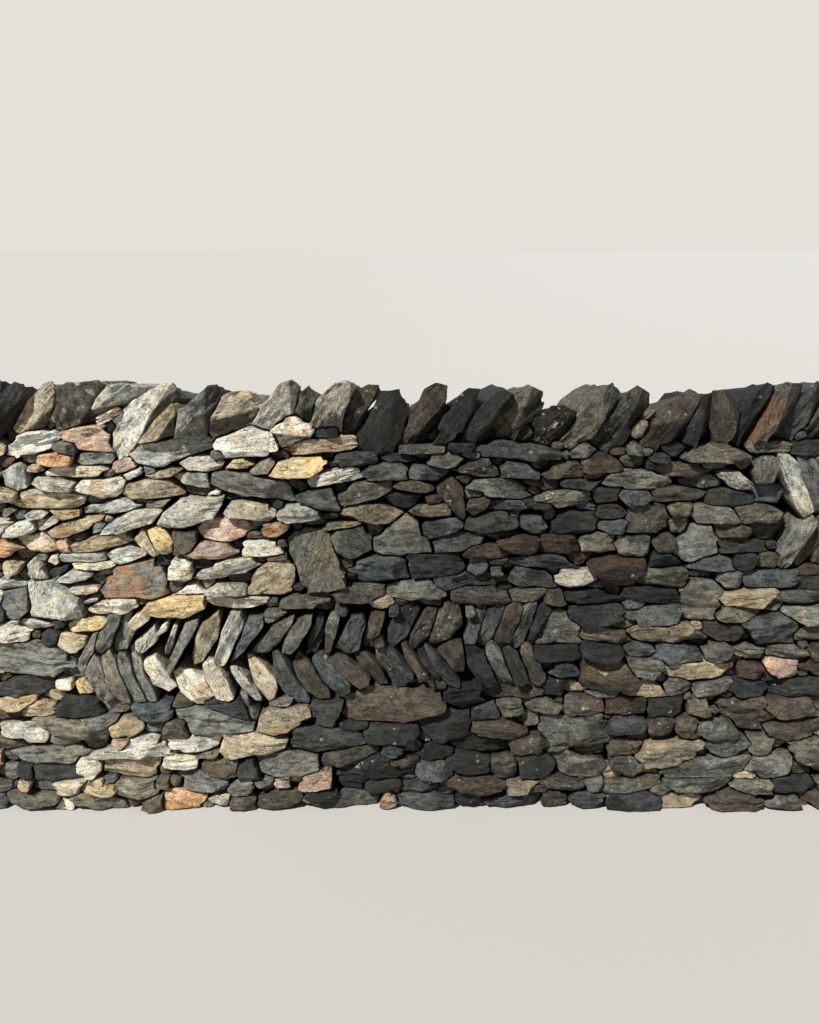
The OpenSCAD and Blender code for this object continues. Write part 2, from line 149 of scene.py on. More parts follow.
# Stones whose outlines show: tilt of the bedding in degrees, then x and z in mm of each corner in turn
cutStones = dict(
    white=[
        (14, -1230, 1036, -1222, 1070, -1172, 1107, -1105, 1110, -1077, 1086, -1085, 1070, -1205, 1031),
        (5, -676, 1066, -656, 1093, -568, 1121, -540, 1117, -514, 1096, -503, 1056, -531, 1042, -650, 1036),
        (0, -766, 1021, -747, 1037, -719, 1040, -668, 1037, -651, 1022, -660, 1005, -670, 998, -744, 999),
        (12, -421, 981, -399, 993, -312, 1016, -290, 1008, -275, 984, -315, 974, -412, 960, -418, 966),
        (0, -698, 936, -686, 945, -662, 943, -662, 936),
        (0, -850, 240, -691, 238, -687, 227, -709, 195, -773, 182, -830, 190),
        (0, -802, 657, -768, 682, -738, 688, -724, 672, -715, 660),
    ],
    cream=[
        (3, -1124, 996, -1106, 1010, -1058, 1015, -979, 1012, -958, 1000, -997, 987, -1048, 986, -1118, 989),
        (6, -1055, 951, -1027, 977, -952, 981, -920, 980, -921, 945, -942, 930, -979, 927),
        (-8, -1223, 815, -1209, 824, -1142, 834, -1115, 790, -1118, 781, -1155, 772, -1185, 778),
        (-10, -647, 892, -632, 918, -607, 921, -547, 907, -516, 896, -514, 877, -532, 866, -642, 880),
        (0, -609, 767, -608, 801, -589, 810, -553, 813, -516, 803, -496, 775, -547, 766, -601, 762),
        (0, -815, 700, -809, 750, -789, 762, -765, 760, -748, 746, -744, 705, -777, 695, -810, 697),
        (-2, -718, 638, -701, 650, -577, 650, -529, 641, -550, 628, -619, 625, -656, 616, -686, 618),
        (0, -1148, 747, -1133, 768, -1115, 768, -1111, 747, -1127, 735),
        (2, -1077, 741, -1067, 747, -967, 750, -962, 738, -982, 728, -1070, 730),
        (-3, -1086, 674, -1076, 683, -1006, 680, -1006, 671, -1042, 662, -1070, 665),
        (4, -1042, 613, -1009, 638, -967, 644, -912, 641, -906, 622, -927, 601, -1027, 603),
        (20, -955, 565, -942, 589, -909, 604, -894, 603, -876, 582, -912, 559, -948, 554),
        (0, -1152, 407, -1142, 413, -1106, 410, -1100, 385, -1130, 378, -1150, 390),
    ],
    sand=[
        (0, -644, 1007, -622, 1031, -598, 1036, -568, 1017, -588, 1007),
        (4, -524, 990, -500, 1029, -430, 1035, -387, 1039, -370, 1027, -372, 1017, -415, 989, -470, 985),
        (-40, -868, 834, -840, 843, -821, 842, -792, 799, -789, 781, -822, 763, -850, 778),
        (3, -889, 614, -872, 637, -802, 657, -725, 657, -722, 619, -765, 595, -782, 592, -850, 602),
        (0, -1103, 568, -1064, 592, -964, 591, -958, 574, -985, 556, -1088, 550),
        (-30, -1098, 405, -1085, 412, -1045, 385, -1050, 365, -1090, 362),
    ],
    buff=[
        (-55, -903, 812, -880, 842, -868, 836, -832, 770, -845, 762),
        (35, -577, 1002, -553, 1024, -522, 1036, -509, 1024, -522, 998, -560, 994),
        (0, -1232, 912, -1224, 934, -1173, 950, -1088, 946, -1030, 934, -1024, 920, -1058, 899, -1205, 899),
        (14, -1130, 836, -1106, 851, -1052, 869, -976, 880, -988, 860, -1052, 830, -1094, 816, -1118, 819),
        (14, -1074, 799, -1033, 813, -967, 816, -930, 830, -909, 808, -997, 799, -1036, 783, -1061, 777),
        (6, -500, 1048, -430, 1087, -398, 1093, -328, 1098, -286, 1090, -284, 1072, -312, 1058, -465, 1041),
        (8, -862, 986, -840, 996, -795, 1007, -759, 1006, -790, 987, -835, 979),
        (0, -920, 941, -908, 962, -868, 976, -830, 977, -795, 972, -759, 938, -800, 932, -892, 928),
        (10, -389, 851, -345, 863, -290, 868, -281, 860, -315, 851, -384, 840),
        (0, -1176, 1002, -1167, 1018, -1135, 1018, -1128, 1004, -1148, 998),
        (30, -597, 660, -586, 698, -565, 728, -532, 747, -486, 750, -466, 735, -471, 666, -500, 655),
        (-20, -1135, 513, -1118, 553, -1106, 553, -1052, 535, -1052, 516, -1091, 486, -1130, 504),
        (3, -586, 259, -573, 305, -536, 327, -432, 318, -432, 300, -464, 277, -509, 250, -582, 250),
        (-3, -693, 186, -689, 232, -677, 245, -605, 250, -498, 230, -505, 205, -573, 186, -664, 170),
        (0, -1264, 735, -1258, 754, -1218, 756, -1209, 747, -1221, 719, -1261, 713),
    ],
    ochre=[
        (0, -1127, 893, -1088, 896, -1044, 892, -1043, 881, -1091, 866, -1112, 884),
        (-5, -334, 896, -290, 913, -230, 912, -172, 890, -175, 881, -202, 863, -248, 863, -330, 884),
    ],
    rust=[
        (3, -1148, 1030, -1139, 1045, -1079, 1054, -1052, 1051, -1053, 1022, -1090, 1014, -1142, 1022),
        (0, -1310, 820, -1257, 820, -1200, 789, -1254, 763, -1310, 763),
        (3, -553, 860, -483, 857, -477, 848, -486, 836, -513, 818, -550, 821),
    ],
    pink=[
        (-3, -1074, 1100, -1045, 1117, -985, 1122, -957, 1113, -952, 1092, -952, 1056, -1045, 1064, -1074,
         1083), (10, -950, 996, -944, 1024, -915, 1036, -897, 1033, -886, 1010, -915, 1002, -936, 992),
        (0, -1115, 805, -1103, 813, -1079, 815, -1073, 778, -1106, 780),
        (0, -729, 838, -701, 866, -686, 872, -638, 875, -598, 863, -565, 838, -632, 809, -705, 814),
        (3, -767, 770, -750, 789, -722, 804, -690, 807, -650, 803, -622, 776, -656, 762, -719, 759),
    ],
    brown=[
        (0, -559, 760, -489, 770, -486, 757, -532, 752),
        (-3, -199, 960, -172, 975, -124, 977, -87, 960, -78, 951, -102, 942, -142, 948),
        (0, -108, 934, -75, 936, -60, 924, -66, 912, -102, 912),
        (2, -341, 298, -332, 345, -264, 386, -127, 384, -52, 357, -60, 312, -200, 275, -315, 277),
        (0, -752, 148, -730, 164, -650, 164, -640, 110, -680, 105, -745, 108),
        (0, -33, 683, -30, 640, -20, 627, 100, 625, 140, 630, 150, 650, 80, 675, 10, 683),
        (0, 203, 993, 240, 1023, 300, 1027, 330, 1010, 320, 985, 223, 982),
        (15, 2, 900, 13, 920, 47, 928, 68, 923, 57, 903, 23, 883),
    ],
    redbrown=[
        (-3, 153, 973, 167, 978, 253, 980, 250, 947, 213, 947, 180, 960),
        (5, -5, 770, 23, 797, 80, 802, 130, 800, 145, 775, 120, 763, 7, 763),
    ],
    olive=[
        (3, 565, 1040, 610, 1062, 660, 1075, 700, 1070, 745, 1050, 765, 1035, 700, 1025, 600, 1028),
        (0, -1250, 896, -1230, 904, -1209, 895, -1240, 875, -1250, 874),
        (8, -773, 166, -741, 182, -700, 184, -709, 173),
        (6, -340, 936, -296, 969, -272, 975, -202, 975, -196, 951, -236, 930, -299, 918, -330, 912),
        (8, -521, 624, -498, 641, -474, 653, -430, 652, -378, 648, -372, 638, -414, 625, -480, 622),
        (0, -175, 1051, -174, 1067, -111, 1070, -54, 1066, -63, 1054, -130, 1050),
        (0, -108, 1027, -90, 1048, -51, 1051, -27, 1051, -8, 1035, -30, 1015, -52, 1011, -90, 1020),
        (0, -151, 892, -124, 907, -54, 910, -39, 898, -42, 881, -96, 878, -142, 880),
        (0, -368, 656, -333, 683, -263, 686, -221, 683, -218, 656, -248, 638, -302, 634, -339, 634),
        (8, -409, 141, -395, 173, -309, 198, -245, 200, -241, 155, -345, 145, -400, 132),
        (5, -37, 1003, 33, 1033, 63, 1033, 90, 1000, 83, 987, 57, 983, 0, 993),
        (0, 750, 1065, 760, 1080, 850, 1082, 875, 1070, 860, 1050, 765, 1050),
    ],
    grey=[
        (0, -1039, 1027, -1027, 1046, -1006, 1051, -951, 1048, -941, 1036, -952, 1020, -1027, 1017),
        (-12, -678, 960, -672, 993, -648, 998, -585, 995, -482, 969, -464, 920, -470, 913, -610, 932),
        (8, -278, 999, -254, 1015, -196, 1022, -172, 1022, -157, 1008, -158, 980, -200, 978, -260, 981),
        (3, -214, 677, -157, 695, -96, 701, -69, 695, -51, 652, -81, 641, -199, 641, -210, 655),
        (-4, -812, 315, -795, 324, -652, 313, -600, 276, -605, 251, -775, 243, -800, 262),
        (3, -600, 159, -582, 173, -505, 191, -482, 186, -420, 164, -414, 136, -450, 112, -590, 118),
        (-5, 2, 953, 17, 973, 70, 983, 127, 980, 157, 957, 187, 927, 140, 923, 57, 935),
        (0, 65, 903, 77, 920, 127, 923, 167, 917, 203, 903, 153, 893, 73, 893),
        (0, -1275, 665, -1255, 674, -1202, 681, -1198, 620, -1233, 592, -1252, 586, -1273, 598),
        (80, 768, 1000, 775, 1030, 800, 1042, 825, 1038, 836, 1010, 825, 975, 800, 963, 778, 972),
    ],
    palegrey=[
        (70, -1238, 957, -1235, 1008, -1215, 1018, -1194, 1019, -1179, 1005, -1174, 957, -1203, 945, -1230,
         945), (-15, 670, 985, 690, 1005, 735, 1000, 775, 965, 770, 950, 720, 955),
        (-6, -1165, 966, -1148, 987, -1091, 983, -1052, 970, -1061, 949, -1106, 952, -1151, 958),
        (15, -920, 989, -894, 1002, -871, 1007, -868, 993, -906, 974, -915, 977),
        (10, -1038, 892, -1010, 910, -950, 921, -918, 926, -868, 909, -912, 892, -950, 885, -1030, 880),
        (0, -1191, 881, -1179, 892, -1145, 893, -1133, 884, -1142, 874, -1179, 872),
        (14, -1253, 848, -1191, 870, -1170, 863, -1162, 842, -1215, 830, -1239, 819, -1252, 824),
        (20, -1162, 860, -1148, 871, -1121, 874, -1102, 863, -1148, 837, -1159, 845),
        (18, -988, 839, -912, 881, -895, 897, -830, 898, -826, 888, -852, 857, -960, 829, -980, 829),
        (5, -898, 1048, -850, 1084, -755, 1089, -690, 1097, -681, 1058, -810, 1012, -842, 1011, -872, 1022),
        (-8, -790, 984, -772, 993, -698, 993, -690, 951, -707, 949, -750, 960),
        (10, -832, 854, -816, 884, -765, 928, -652, 930, -657, 918, -684, 875, -759, 851, -820, 846),
        (0, -509, 890, -486, 903, -428, 907, -401, 892, -394, 872, -418, 864, -482, 861, -505, 874),
        (12, -744, 702, -700, 738, -650, 757, -583, 757, -562, 742, -566, 733, -620, 707, -718, 695),
        (0, -722, 665, -683, 682, -625, 686, -612, 678, -597, 660, -700, 658),
        (0, -1310, 702, -1255, 707, -1227, 707, -1203, 692, -1209, 683, -1264, 677, -1310, 677),
        (0, -1250, 574, -1233, 583, -1200, 591, -1136, 571, -1142, 565, -1209, 553, -1240, 559),
        (0, -1112, 753, -1106, 768, -1076, 775, -988, 778, -986, 753, -1048, 747, -1106, 747),
        (6, -982, 774, -952, 778, -915, 795, -870, 771, -906, 756, -942, 744, -961, 753),
        (8, -1130, 689, -1115, 704, -1082, 725, -1027, 719, -1000, 707, -1048, 698, -1106, 692),
        (0, -1048, 641, -1027, 653, -1009, 650, -1012, 641, -1042, 635),
    ],
    slate=[
        (0, -236, 173, -223, 218, -195, 218, -155, 186, -191, 173),
        (5, 3, 843, 7, 867, 67, 890, 100, 890, 137, 870, 150, 852, 73, 837, 40, 833),
        (8, -84, 805, -63, 820, -10, 834, 37, 833, 50, 820, 43, 803, -10, 783, -80, 774),
        (-5, 23, 1053, 40, 1077, 103, 1082, 173, 1070, 253, 1053, 250, 1037, 190, 1030, 40, 1040),
        (85, 7, 727, 17, 757, 40, 763, 63, 760, 67, 747, 60, 707, 23, 683, 7, 700),
        (0, -363, 1027, -339, 1048, -290, 1052, -248, 1051, -236, 1042, -242, 1021, -281, 1017, -330, 1016),
        (-3, -154, 999, -139, 1021, -87, 1018, -45, 1002, -72, 975, -148, 981),
        (-5, -460, 933, -421, 949, -356, 956, -336, 905, -333, 896, -366, 893, -393, 899, -451, 915),
        (3, -122, 845, -105, 863, -36, 872, -8, 860, -3, 848, -50, 825, -100, 815, -118, 825),
        (0, -319, 728, -290, 753, -248, 768, -199, 768, -157, 759, -154, 701, -202, 697, -280, 692),
        (-3, 93, 1013, 107, 1027, 163, 1020, 197, 1000, 193, 983, 100, 985),
        (0, -434, 330, -339, 336, -339, 318, -373, 259, -400, 257, -418, 273),
        (0, -495, 209, -482, 259, -436, 268, -300, 250, -277, 209, -418, 180, -482, 191),
        (0, 53, 823, 93, 837, 140, 833, 137, 820, 90, 810),
        (0, 153, 877, 207, 880, 225, 850, 210, 830, 180, 835, 150, 850),
    ],
    dark=[
        (-8, -52, 1062, -45, 1080, -10, 1078, 20, 1078, 28, 1066, 10, 1050, -30, 1052),
        (-3, -236, 1043, -199, 1048, -166, 1048, -121, 1030, -157, 1024, -212, 1024),
        (0, -221, 934, -175, 945, -118, 933, -142, 902, -157, 899, -193, 907),
        (0, -389, 884, -354, 892, -333, 884, -351, 869, -384, 866),
        (-2, -160, 777, -80, 772, -17, 774, -3, 743, 3, 700, -140, 707, -150, 725),
        (20, -1145, 719, -1130, 728, -1088, 739, -1091, 728, -1130, 701),
        (0, -350, 277, -268, 273, -273, 255, -345, 259),
        (0, -282, 245, -255, 273, -123, 277, -118, 245, -164, 216, -264, 223),
        (-20, -1186, 532, -1167, 556, -1148, 557, -1130, 541, -1133, 519, -1152, 507, -1179, 516),
    ],
    patched=[(-30, -369, 822, -345, 838, -281, 853, -251, 812, -254, 786, -290, 768, -324, 762, -350, 786)],
)
# tall stones that rise through two or three courses
tallStones = dict(
    palegrey=[
        (75, -1196, 693, -1165, 706, -1140, 697, -1060, 648, -1057, 598, -1105, 588, -1192, 598),
        (80, -1190, 703, -1191, 750, -1186, 763, -1178, 760, -1155, 742, -1143, 705),
    ],
    olive=[(70, -487, 803, -440, 845, -396, 848, -366, 822, -324, 701, -332, 685, -400, 664, -437, 666)],
    grey=[
        (-5, -1312, 525, -1172, 518, -1142, 501, -1106, 465, -1090, 446, -1148, 420, -1180, 420, -1312, 435),
        (0, -251, 812, -196, 859, -166, 884, -155, 884, -127, 862, -84, 778, -199, 771, -240, 786),
    ],
    brown=[(-65, -80, 951, -36, 986, -32, 985, -7, 957, 3, 880, -3, 863, -10, 865, -60, 925)],
    patched=[(8, -1005, 676, -957, 731, -894, 751, -853, 753, -818, 698, -818, 662, -838, 652, -990, 650)],
)
# slabs of the low panel whose outlines show, its upper row leaning right and its lower row left
upperCut = dict(
    palegrey=[
        (60, -932, 477, -927, 513, -894, 541, -864, 566, -855, 541, -858, 522, -879, 498, -918, 468),
        (50, -851, 550, -838, 574, -822, 583, -821, 559, -847, 545),
        (65, -835, 486, -832, 510, -806, 571, -798, 565, -810, 516, -825, 483),
        (65, -697, 470, -668, 562, -650, 598, -622, 601, -610, 577, -619, 550, -668, 456, -690, 447),
    ],
    grey=[
        (58, -1083, 412, -1082, 456, -1070, 483, -1033, 544, -1018, 547, -1030, 500, -1060, 440, -1075, 410),
        (62, -833, 431, -835, 444, -786, 547, -774, 574, -744, 580, -741, 571, -762, 528, -825, 428),
        (60, -506, 489, -500, 531, -477, 574, -440, 598, -422, 600, -425, 575, -460, 510, -480, 488),
    ],
    buff=[(65, -763, 447, -762, 474, -750, 532, -728, 571, -686, 595, -683, 577, -686, 532, -735, 458)],
    slate=[
        (52, -650, 468, -616, 526, -612, 562, -600, 587, -556, 591, -559, 568, -607, 504, -645, 464),
        (60, -358, 504, -339, 547, -312, 592, -282, 598, -272, 577, -290, 501, -315, 489),
        (58, -209, 505, -209, 553, -178, 607, -154, 629, -124, 629, -124, 605, -157, 528, -196, 500),
    ],
    olive=[
        (10, -554, 604, -543, 615, -529, 619, -488, 612, -516, 589, -544, 577, -551, 583),
        (78, -386, 489, -387, 562, -369, 601, -354, 607, -345, 589, -354, 547, -369, 498),
        (45, -592, 488, -580, 510, -527, 572, -498, 589, -474, 594, -480, 577, -516, 538, -548, 488),
        (66, -95, 513, -87, 553, -60, 628, -40, 634, -10, 615, 0, 570, -25, 540, -72, 505),
    ],
    dark=[
        (62, -430, 484, -420, 508, -396, 558, -388, 550, -395, 520, -415, 483),
        (68, -440, 480, -433, 531, -405, 595, -390, 604, -390, 577, -424, 501),
    ],
    brown=[
        (76, -280, 507, -269, 559, -257, 601, -221, 598, -221, 580, -236, 532, -254, 495, -272, 498),
        (58, -148, 504, -145, 538, -112, 583, -96, 619, -72, 622, -81, 583, -99, 529, -133, 492),
    ],
)
lowerCut = dict(
    cream=[
        (-50, -909, 441, -894, 459, -867, 472, -853, 456, -838, 432, -816, 380, -840, 362, -880, 390),
        (-45, -818, 425, -800, 438, -766, 434, -732, 409, -709, 368, -702, 330, -750, 324, -800, 370),
        (-60, -730, 450, -714, 466, -698, 459, -664, 414, -648, 368, -648, 323, -691, 350, -725, 410),
    ],
    palegrey=[(-55, -655, 441, -643, 443, -609, 414, -582, 377, -568, 327, -582, 318, -627, 391, -652, 425)],
    buff=[(-58, -607, 473, -595, 477, -555, 441, -527, 409, -523, 386, -541, 341, -550, 341, -586, 386)],
    slate=[
        (-45, -248, 507, -230, 516, -190, 489, -139, 422, -145, 398, -187, 391, -212, 425, -241, 474),
        (-62, -534, 486, -518, 491, -505, 455, -441, 350, -436, 332, -468, 325, -505, 368, -527, 418),
        (-52, -423, 464, -405, 486, -391, 482, -368, 441, -318, 395, -320, 373, -345, 355, -391, 409),
        (-48, -108, 507, -99, 509, -66, 477, -10, 407, -12, 396, -42, 398, -81, 450),
    ],
    brown=[
        (-55, -480, 450, -461, 482, -441, 464, -423, 436, -380, 364, -380, 341, -414, 343, -464, 386),
        (-42, -375, 468, -350, 484, -323, 475, -286, 441, -264, 414, -270, 391, -291, 386, -345, 441),
        (-50, -305, 480, -290, 495, -269, 489, -230, 450, -212, 401, -236, 392, -254, 413, -287, 450),
        (-55, -169, 507, -157, 513, -142, 489, -99, 428, -69, 383, -81, 380, -121, 413, -163, 480),
    ],
    grey=[(-65, -634, 360, -618, 364, -582, 300, -589, 277, -600, 286)],
    dark=[(-55, -127, 486, -112, 495, -72, 431, -57, 395, -75, 404, -118, 462)],
    redbrown=[(-40, -72, 493, -50, 515, -30, 526, 0, 520, 10, 480, 5, 440, -20, 440, -50, 470)],
)
# cope stones whose outlines show, with the sheltered side that each turns down
copeCut = dict(
    buff=[
        (48, -875, 1072, -861, 1103, -816, 1157, -765, 1190, -758, 1150, -769, 1097, -810, 1083, -855, 1074),
        (15, -694, 1145, -648, 1206, -616, 1218, -567, 1215, -548, 1165, -575, 1130, -640, 1092, -685, 1092),
        (48, -1211, 1125, -1161, 1188, -1107, 1236, -1086, 1240, -1078, 1215, -1087, 1165, -1125, 1112,
         -1200, 1104), (30, -984, 1136, -975, 1145, -920, 1170, -908, 1171, -930, 1145, -968, 1129),
    ],
    lichened=[
        (65, -1096, 1115, -1094, 1160, -1075, 1220, -1046, 1240, -968, 1240, -954, 1222, -985, 1125, -1053,
         1112),
    ],
    palegrey=[
        (30, -1001, 1161, -980, 1194, -934, 1238, -890, 1240, -868, 1223, -875, 1200, -914, 1174, -990, 1148),
        (48, -948, 1080, -920, 1155, -879, 1192, -801, 1233, -775, 1231, -760, 1200, -860, 1088, -915, 1040),
        (50, -562, 1126, -546, 1162, -491, 1236, -459, 1243, -434, 1222, -442, 1180, -480, 1128, -545, 1108),
        (55, -405, 1135, -399, 1188, -340, 1246, -304, 1245, -286, 1228, -305, 1165, -328, 1101, -385, 1096),
    ],
    cream=[(15, -512, 1126, -479, 1156, -453, 1150, -394, 1110, -402, 1100, -488, 1067, -505, 1092)],
    grey=[
        (50, -770, 1141, -744, 1173, -672, 1236, -648, 1234, -640, 1208, -686, 1130, -690, 1092, -765, 1090),
    ],
    olive=[
        (70, -450, 1165, -440, 1214, -413, 1232, -396, 1200, -395, 1180, -411, 1139, -432, 1139, -448, 1155),
    ],
    brown=[
        (60, -337, 1120, -320, 1182, -292, 1216, -256, 1231, -228, 1227, -232, 1195, -280, 1105, -325, 1092),
        (55, -172, 1080, -135, 1184, -112, 1222, -84, 1234, -50, 1226, -52, 1169, -92, 1102, -110, 1076),
    ],
    dark=[
        (55, -80, 1078, -72, 1112, -44, 1168, -16, 1212, 6, 1228, 36, 1222, 8, 1130, -55, 1068),
        (62, -296, 1075, -276, 1157, -256, 1199, -222, 1218, -178, 1217, -157, 1180, -160, 1120, -205, 1052),
    ],
)
# Other slabs of the low panel: foot x, foot z, head x, head z, thickness and kind
upperSlabs = [
    (-1020, 492, -965, 603, 40, "grey"), (-975, 492, -915, 605, 42, "olive"), (12, 510, 55, 628, 30, "slate"),
    (52, 512, 102, 628, 40, "slate"), (98, 514, 150, 628, 44, "brown"), (148, 516, 196, 628, 40, "grey"),
    (190, 520, 232, 628, 36, "dark"),
]
# small stones between them, as in faceStones
upperPins = [
    (-193, 612, 30, 26, 0, "grey"), (20, 608, 30, 26, 0, "grey"), (-340, 613, 40, 22, -30, "slate"),
    (-236, 520, 34, 28, 10, "brown"),
]
# The lower row gives its slabs by head x, head z, foot x, foot z
lowerSlabs = [
    (-1052, 482, -1000, 350, 42, "grey"), (-1005, 484, -952, 345, 40, "olive"),
    (-962, 486, -912, 342, 27, "grey"), (-930, 487, -882, 340, 24, "grey"), (20, 500, 84, 396, 50, "dark"),
    (74, 502, 132, 398, 42, "grey"), (122, 504, 178, 398, 44, "dark"), (170, 506, 222, 400, 42, "brown"),
]
# The high panel: its upper row leans to the left, its lower row to the right
highUpperSlabs = [
    (858, 1036, 915, 900, 42, "palegrey"), (905, 1038, 962, 902, 46, "slate"),
    (958, 1038, 1018, 902, 52, "grey"), (1018, 1038, 1076, 902, 40, "olive"),
    (1066, 1038, 1126, 902, 48, "dark"), (1122, 1038, 1180, 902, 44, "buff"),
    (1172, 1038, 1232, 902, 46, "slate"), (1226, 1038, 1286, 902, 50, "grey"),
    (1284, 1038, 1340, 902, 42, "brown"), (1332, 1038, 1392, 902, 46, "pink"),
    (1386, 1038, 1446, 902, 44, "grey"),
]
highLowerSlabs = [
    (870, 745, 928, 872, 46, "grey"), (924, 745, 984, 872, 44, "brown"), (975, 745, 1034, 872, 40, "slate"),
    (1022, 745, 1082, 872, 50, "olive"), (1080, 745, 1140, 872, 46, "buff"),
    (1132, 745, 1192, 872, 42, "dark"), (1182, 745, 1242, 872, 48, "grey"),
    (1236, 745, 1296, 872, 46, "pink"), (1288, 745, 1348, 872, 42, "slate"),
    (1338, 745, 1396, 872, 48, "brown"), (1392, 745, 1446, 872, 44, "olive"),
]
# Other cope stones: foot x, foot z, head x, head z, thickness and kind
copeStones = [
    (-1560, 1092, -1485, 1225, 62, "slate"), (-1478, 1090, -1398, 1232, 70, "olive"),
    (-1392, 1092, -1318, 1218, 60, "brown"), (-1315, 1090, -1232, 1236, 68, "grey"),
    (-1245, 1100, -1165, 1232, 48, "dark"), (3, 1090, 101, 1206, 52, "dark"),
    (95, 1098, 178, 1214, 74, "olive"), (193, 1085, 272, 1165, 78, "lichened"),
    (275, 1062, 393, 1213, 65, "olive"), (375, 1078, 463, 1204, 72, "olive"),
    (498, 1075, 593, 1200, 70, "brown"), (595, 1085, 640, 1200, 45, "slate"),
    (692, 1092, 668, 1212, 72, "brown"), (725, 1078, 785, 1230, 55, "dark"),
    (775, 1098, 850, 1232, 60, "patched"), (850, 1092, 928, 1222, 62, "slate"),
    (928, 1090, 1008, 1232, 70, "brown"), (1012, 1090, 1088, 1214, 64, "slate"),
    (1090, 1090, 1172, 1230, 72, "brown"), (1172, 1090, 1248, 1220, 60, "grey"),
    (1248, 1090, 1330, 1234, 70, "dark"), (1330, 1090, 1404, 1218, 62, "slate"),
    (1402, 1090, 1484, 1228, 68, "olive"),
]
copeEnd = (1542, 1092, 1545, 1212, 92, "grey")

kinds = ["white", "cream", "sand", "buff", "ochre", "rust", "pink", "brown", "redbrown",
         "olive", "grey", "palegrey", "slate", "dark", "patched", "lichened"]


def slabRow(slabs, node, swell):
    # a slab becomes a stone whose length runs from foot to head
    rows = []
    for x0, z0, x1, z1, thick, kind in slabs:
        lean = math.degrees(math.atan2(z1 - z0, x1 - x0))
        length = math.hypot(x1 - x0, z1 - z0) * swell
        rows.append([(x0 + x1) / 2, (z0 + z1) / 2, length, thick * 1.16, lean, 0, kinds.index(kind), node])
    return rows


def courseOf(z):
    # number of the front course that a height lies in, or 0 for the footing
    for k, name in enumerate(courses):
        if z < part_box(name)[0][2]:
            return k
    return len(courses)


# nodes are numbered in this order
nodeNames = (["footing_course"] + courses + ["jumper_stones", "low_panel_upper_row", "low_panel_lower_row",
             "high_panel_upper_row", "high_panel_lower_row", "cope_stones_left", "cope_stones_right",
             "cope_end_stone"] + backCourses + ["hearting"])
nodeNumber = {name: i for i, name in enumerate(nodeNames)}
slabNodes = [nodeNumber[name] for name in nodeNames if "panel" in name or "cope" in name]


def copeSide(x):
    # the cope's left node ends where its box does, less half a stone
    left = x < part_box("cope_stones_left")[1][0] / mm - 40
    return nodeNumber["cope_stones_left" if left else "cope_stones_right"]


def handStones():
    # Rows for the stones without an outline: middle x and z, width, height, tilt, taper, kind, node.
    # Slabs are given a little longer than from foot to head, because their corners are cut.
    rows = []
    for kind, stones in list(faceStones.items()) + list(largeStones.items()):
        for x, z, w, h, tilt, *taper in stones:
            rows.append([x, z, w, h, tilt, sum(taper), kinds.index(kind), courseOf(z * mm)])
    for x, z, w, h, tilt, kind in upperPins:
        rows.append([x, z, w, h, tilt, 0, kinds.index(kind), nodeNumber["low_panel_upper_row"]])
    for slabs, row, swell in (
            (upperSlabs, "low_panel_upper", 1.14), (lowerSlabs, "low_panel_lower", 1.14),
            (highUpperSlabs, "high_panel_upper", 1.1), (highLowerSlabs, "high_panel_lower", 1.1)):
        rows += slabRow(slabs, nodeNumber[row + "_row"], swell)
    for stone in copeStones:
        rows += slabRow([stone], copeSide((stone[0] + stone[2]) / 2), 1.14)
    rows += slabRow([copeEnd], nodeNumber["cope_end_stone"], 1.25)
    return np.array(rows, float)


# fitting stones to each other
sideCount = 8                             # straight sides: head, foot, two ends and four cut corners
sideTurn = (0.24, 0.22, 0.08, 0.22) * 2   # how far each side turns at random, radians; beds stay level
rayCount = 96                             # rays from a stone's middle to points of its outline
stepCount = 26                            # tries along a ray
nearCount = 24                            # neighbours that a stone is fitted to
chipCount = 16                            # chips round an outline


def shapedStone(tilt, *corners):
    # Turns corners into the stone's own frame, where half of each size is 1. Each edge gives the
    # direction and distance of a side, and no corner lies beyond it.
    c, s = math.cos(math.radians(tilt)), math.sin(math.radians(tilt))
    own = np.array(corners, float).reshape(-1, 2) @ np.array([[c, -s], [s, c]])
    middle, half = (own.max(0) + own.min(0)) / 2, (own.max(0) - own.min(0)) / 2
    own = (own - middle) / half
    own = own[np.argsort(np.arctan2(own[:, 1], own[:, 0]))]
    along = np.roll(own, -1, 0) - own
    out = np.stack([along[:, 1], -along[:, 0]], -1)
    x, z = middle @ np.array([[c, s], [-s, c]])
    sides = np.resize(out / (own @ out.T).max(0)[:, None], (sideCount, 2))
    return [x, z, 2 * half[0], 2 * half[1], tilt, 0], sides


def shapedStones():
    # rows as in handStones for the outlined stones, and the sides of each
    rows, sides = [], []
    for group, nodeAt in ((cutStones, lambda x, z: courseOf(z * mm)),
                          (tallStones, lambda x, z: nodeNumber["jumper_stones"]),
                          (upperCut, lambda x, z: nodeNumber["low_panel_upper_row"]),
                          (lowerCut, lambda x, z: nodeNumber["low_panel_lower_row"]),
                          (copeCut, lambda x, z: copeSide(x))):
        for kind, stones in group.items():
            for stone in stones:
                row, side = shapedStone(*stone)
                rows.append(row + [kinds.index(kind), nodeAt(*row[:2])])
                sides.append(side)
    return np.array(rows, float), np.array(sides)


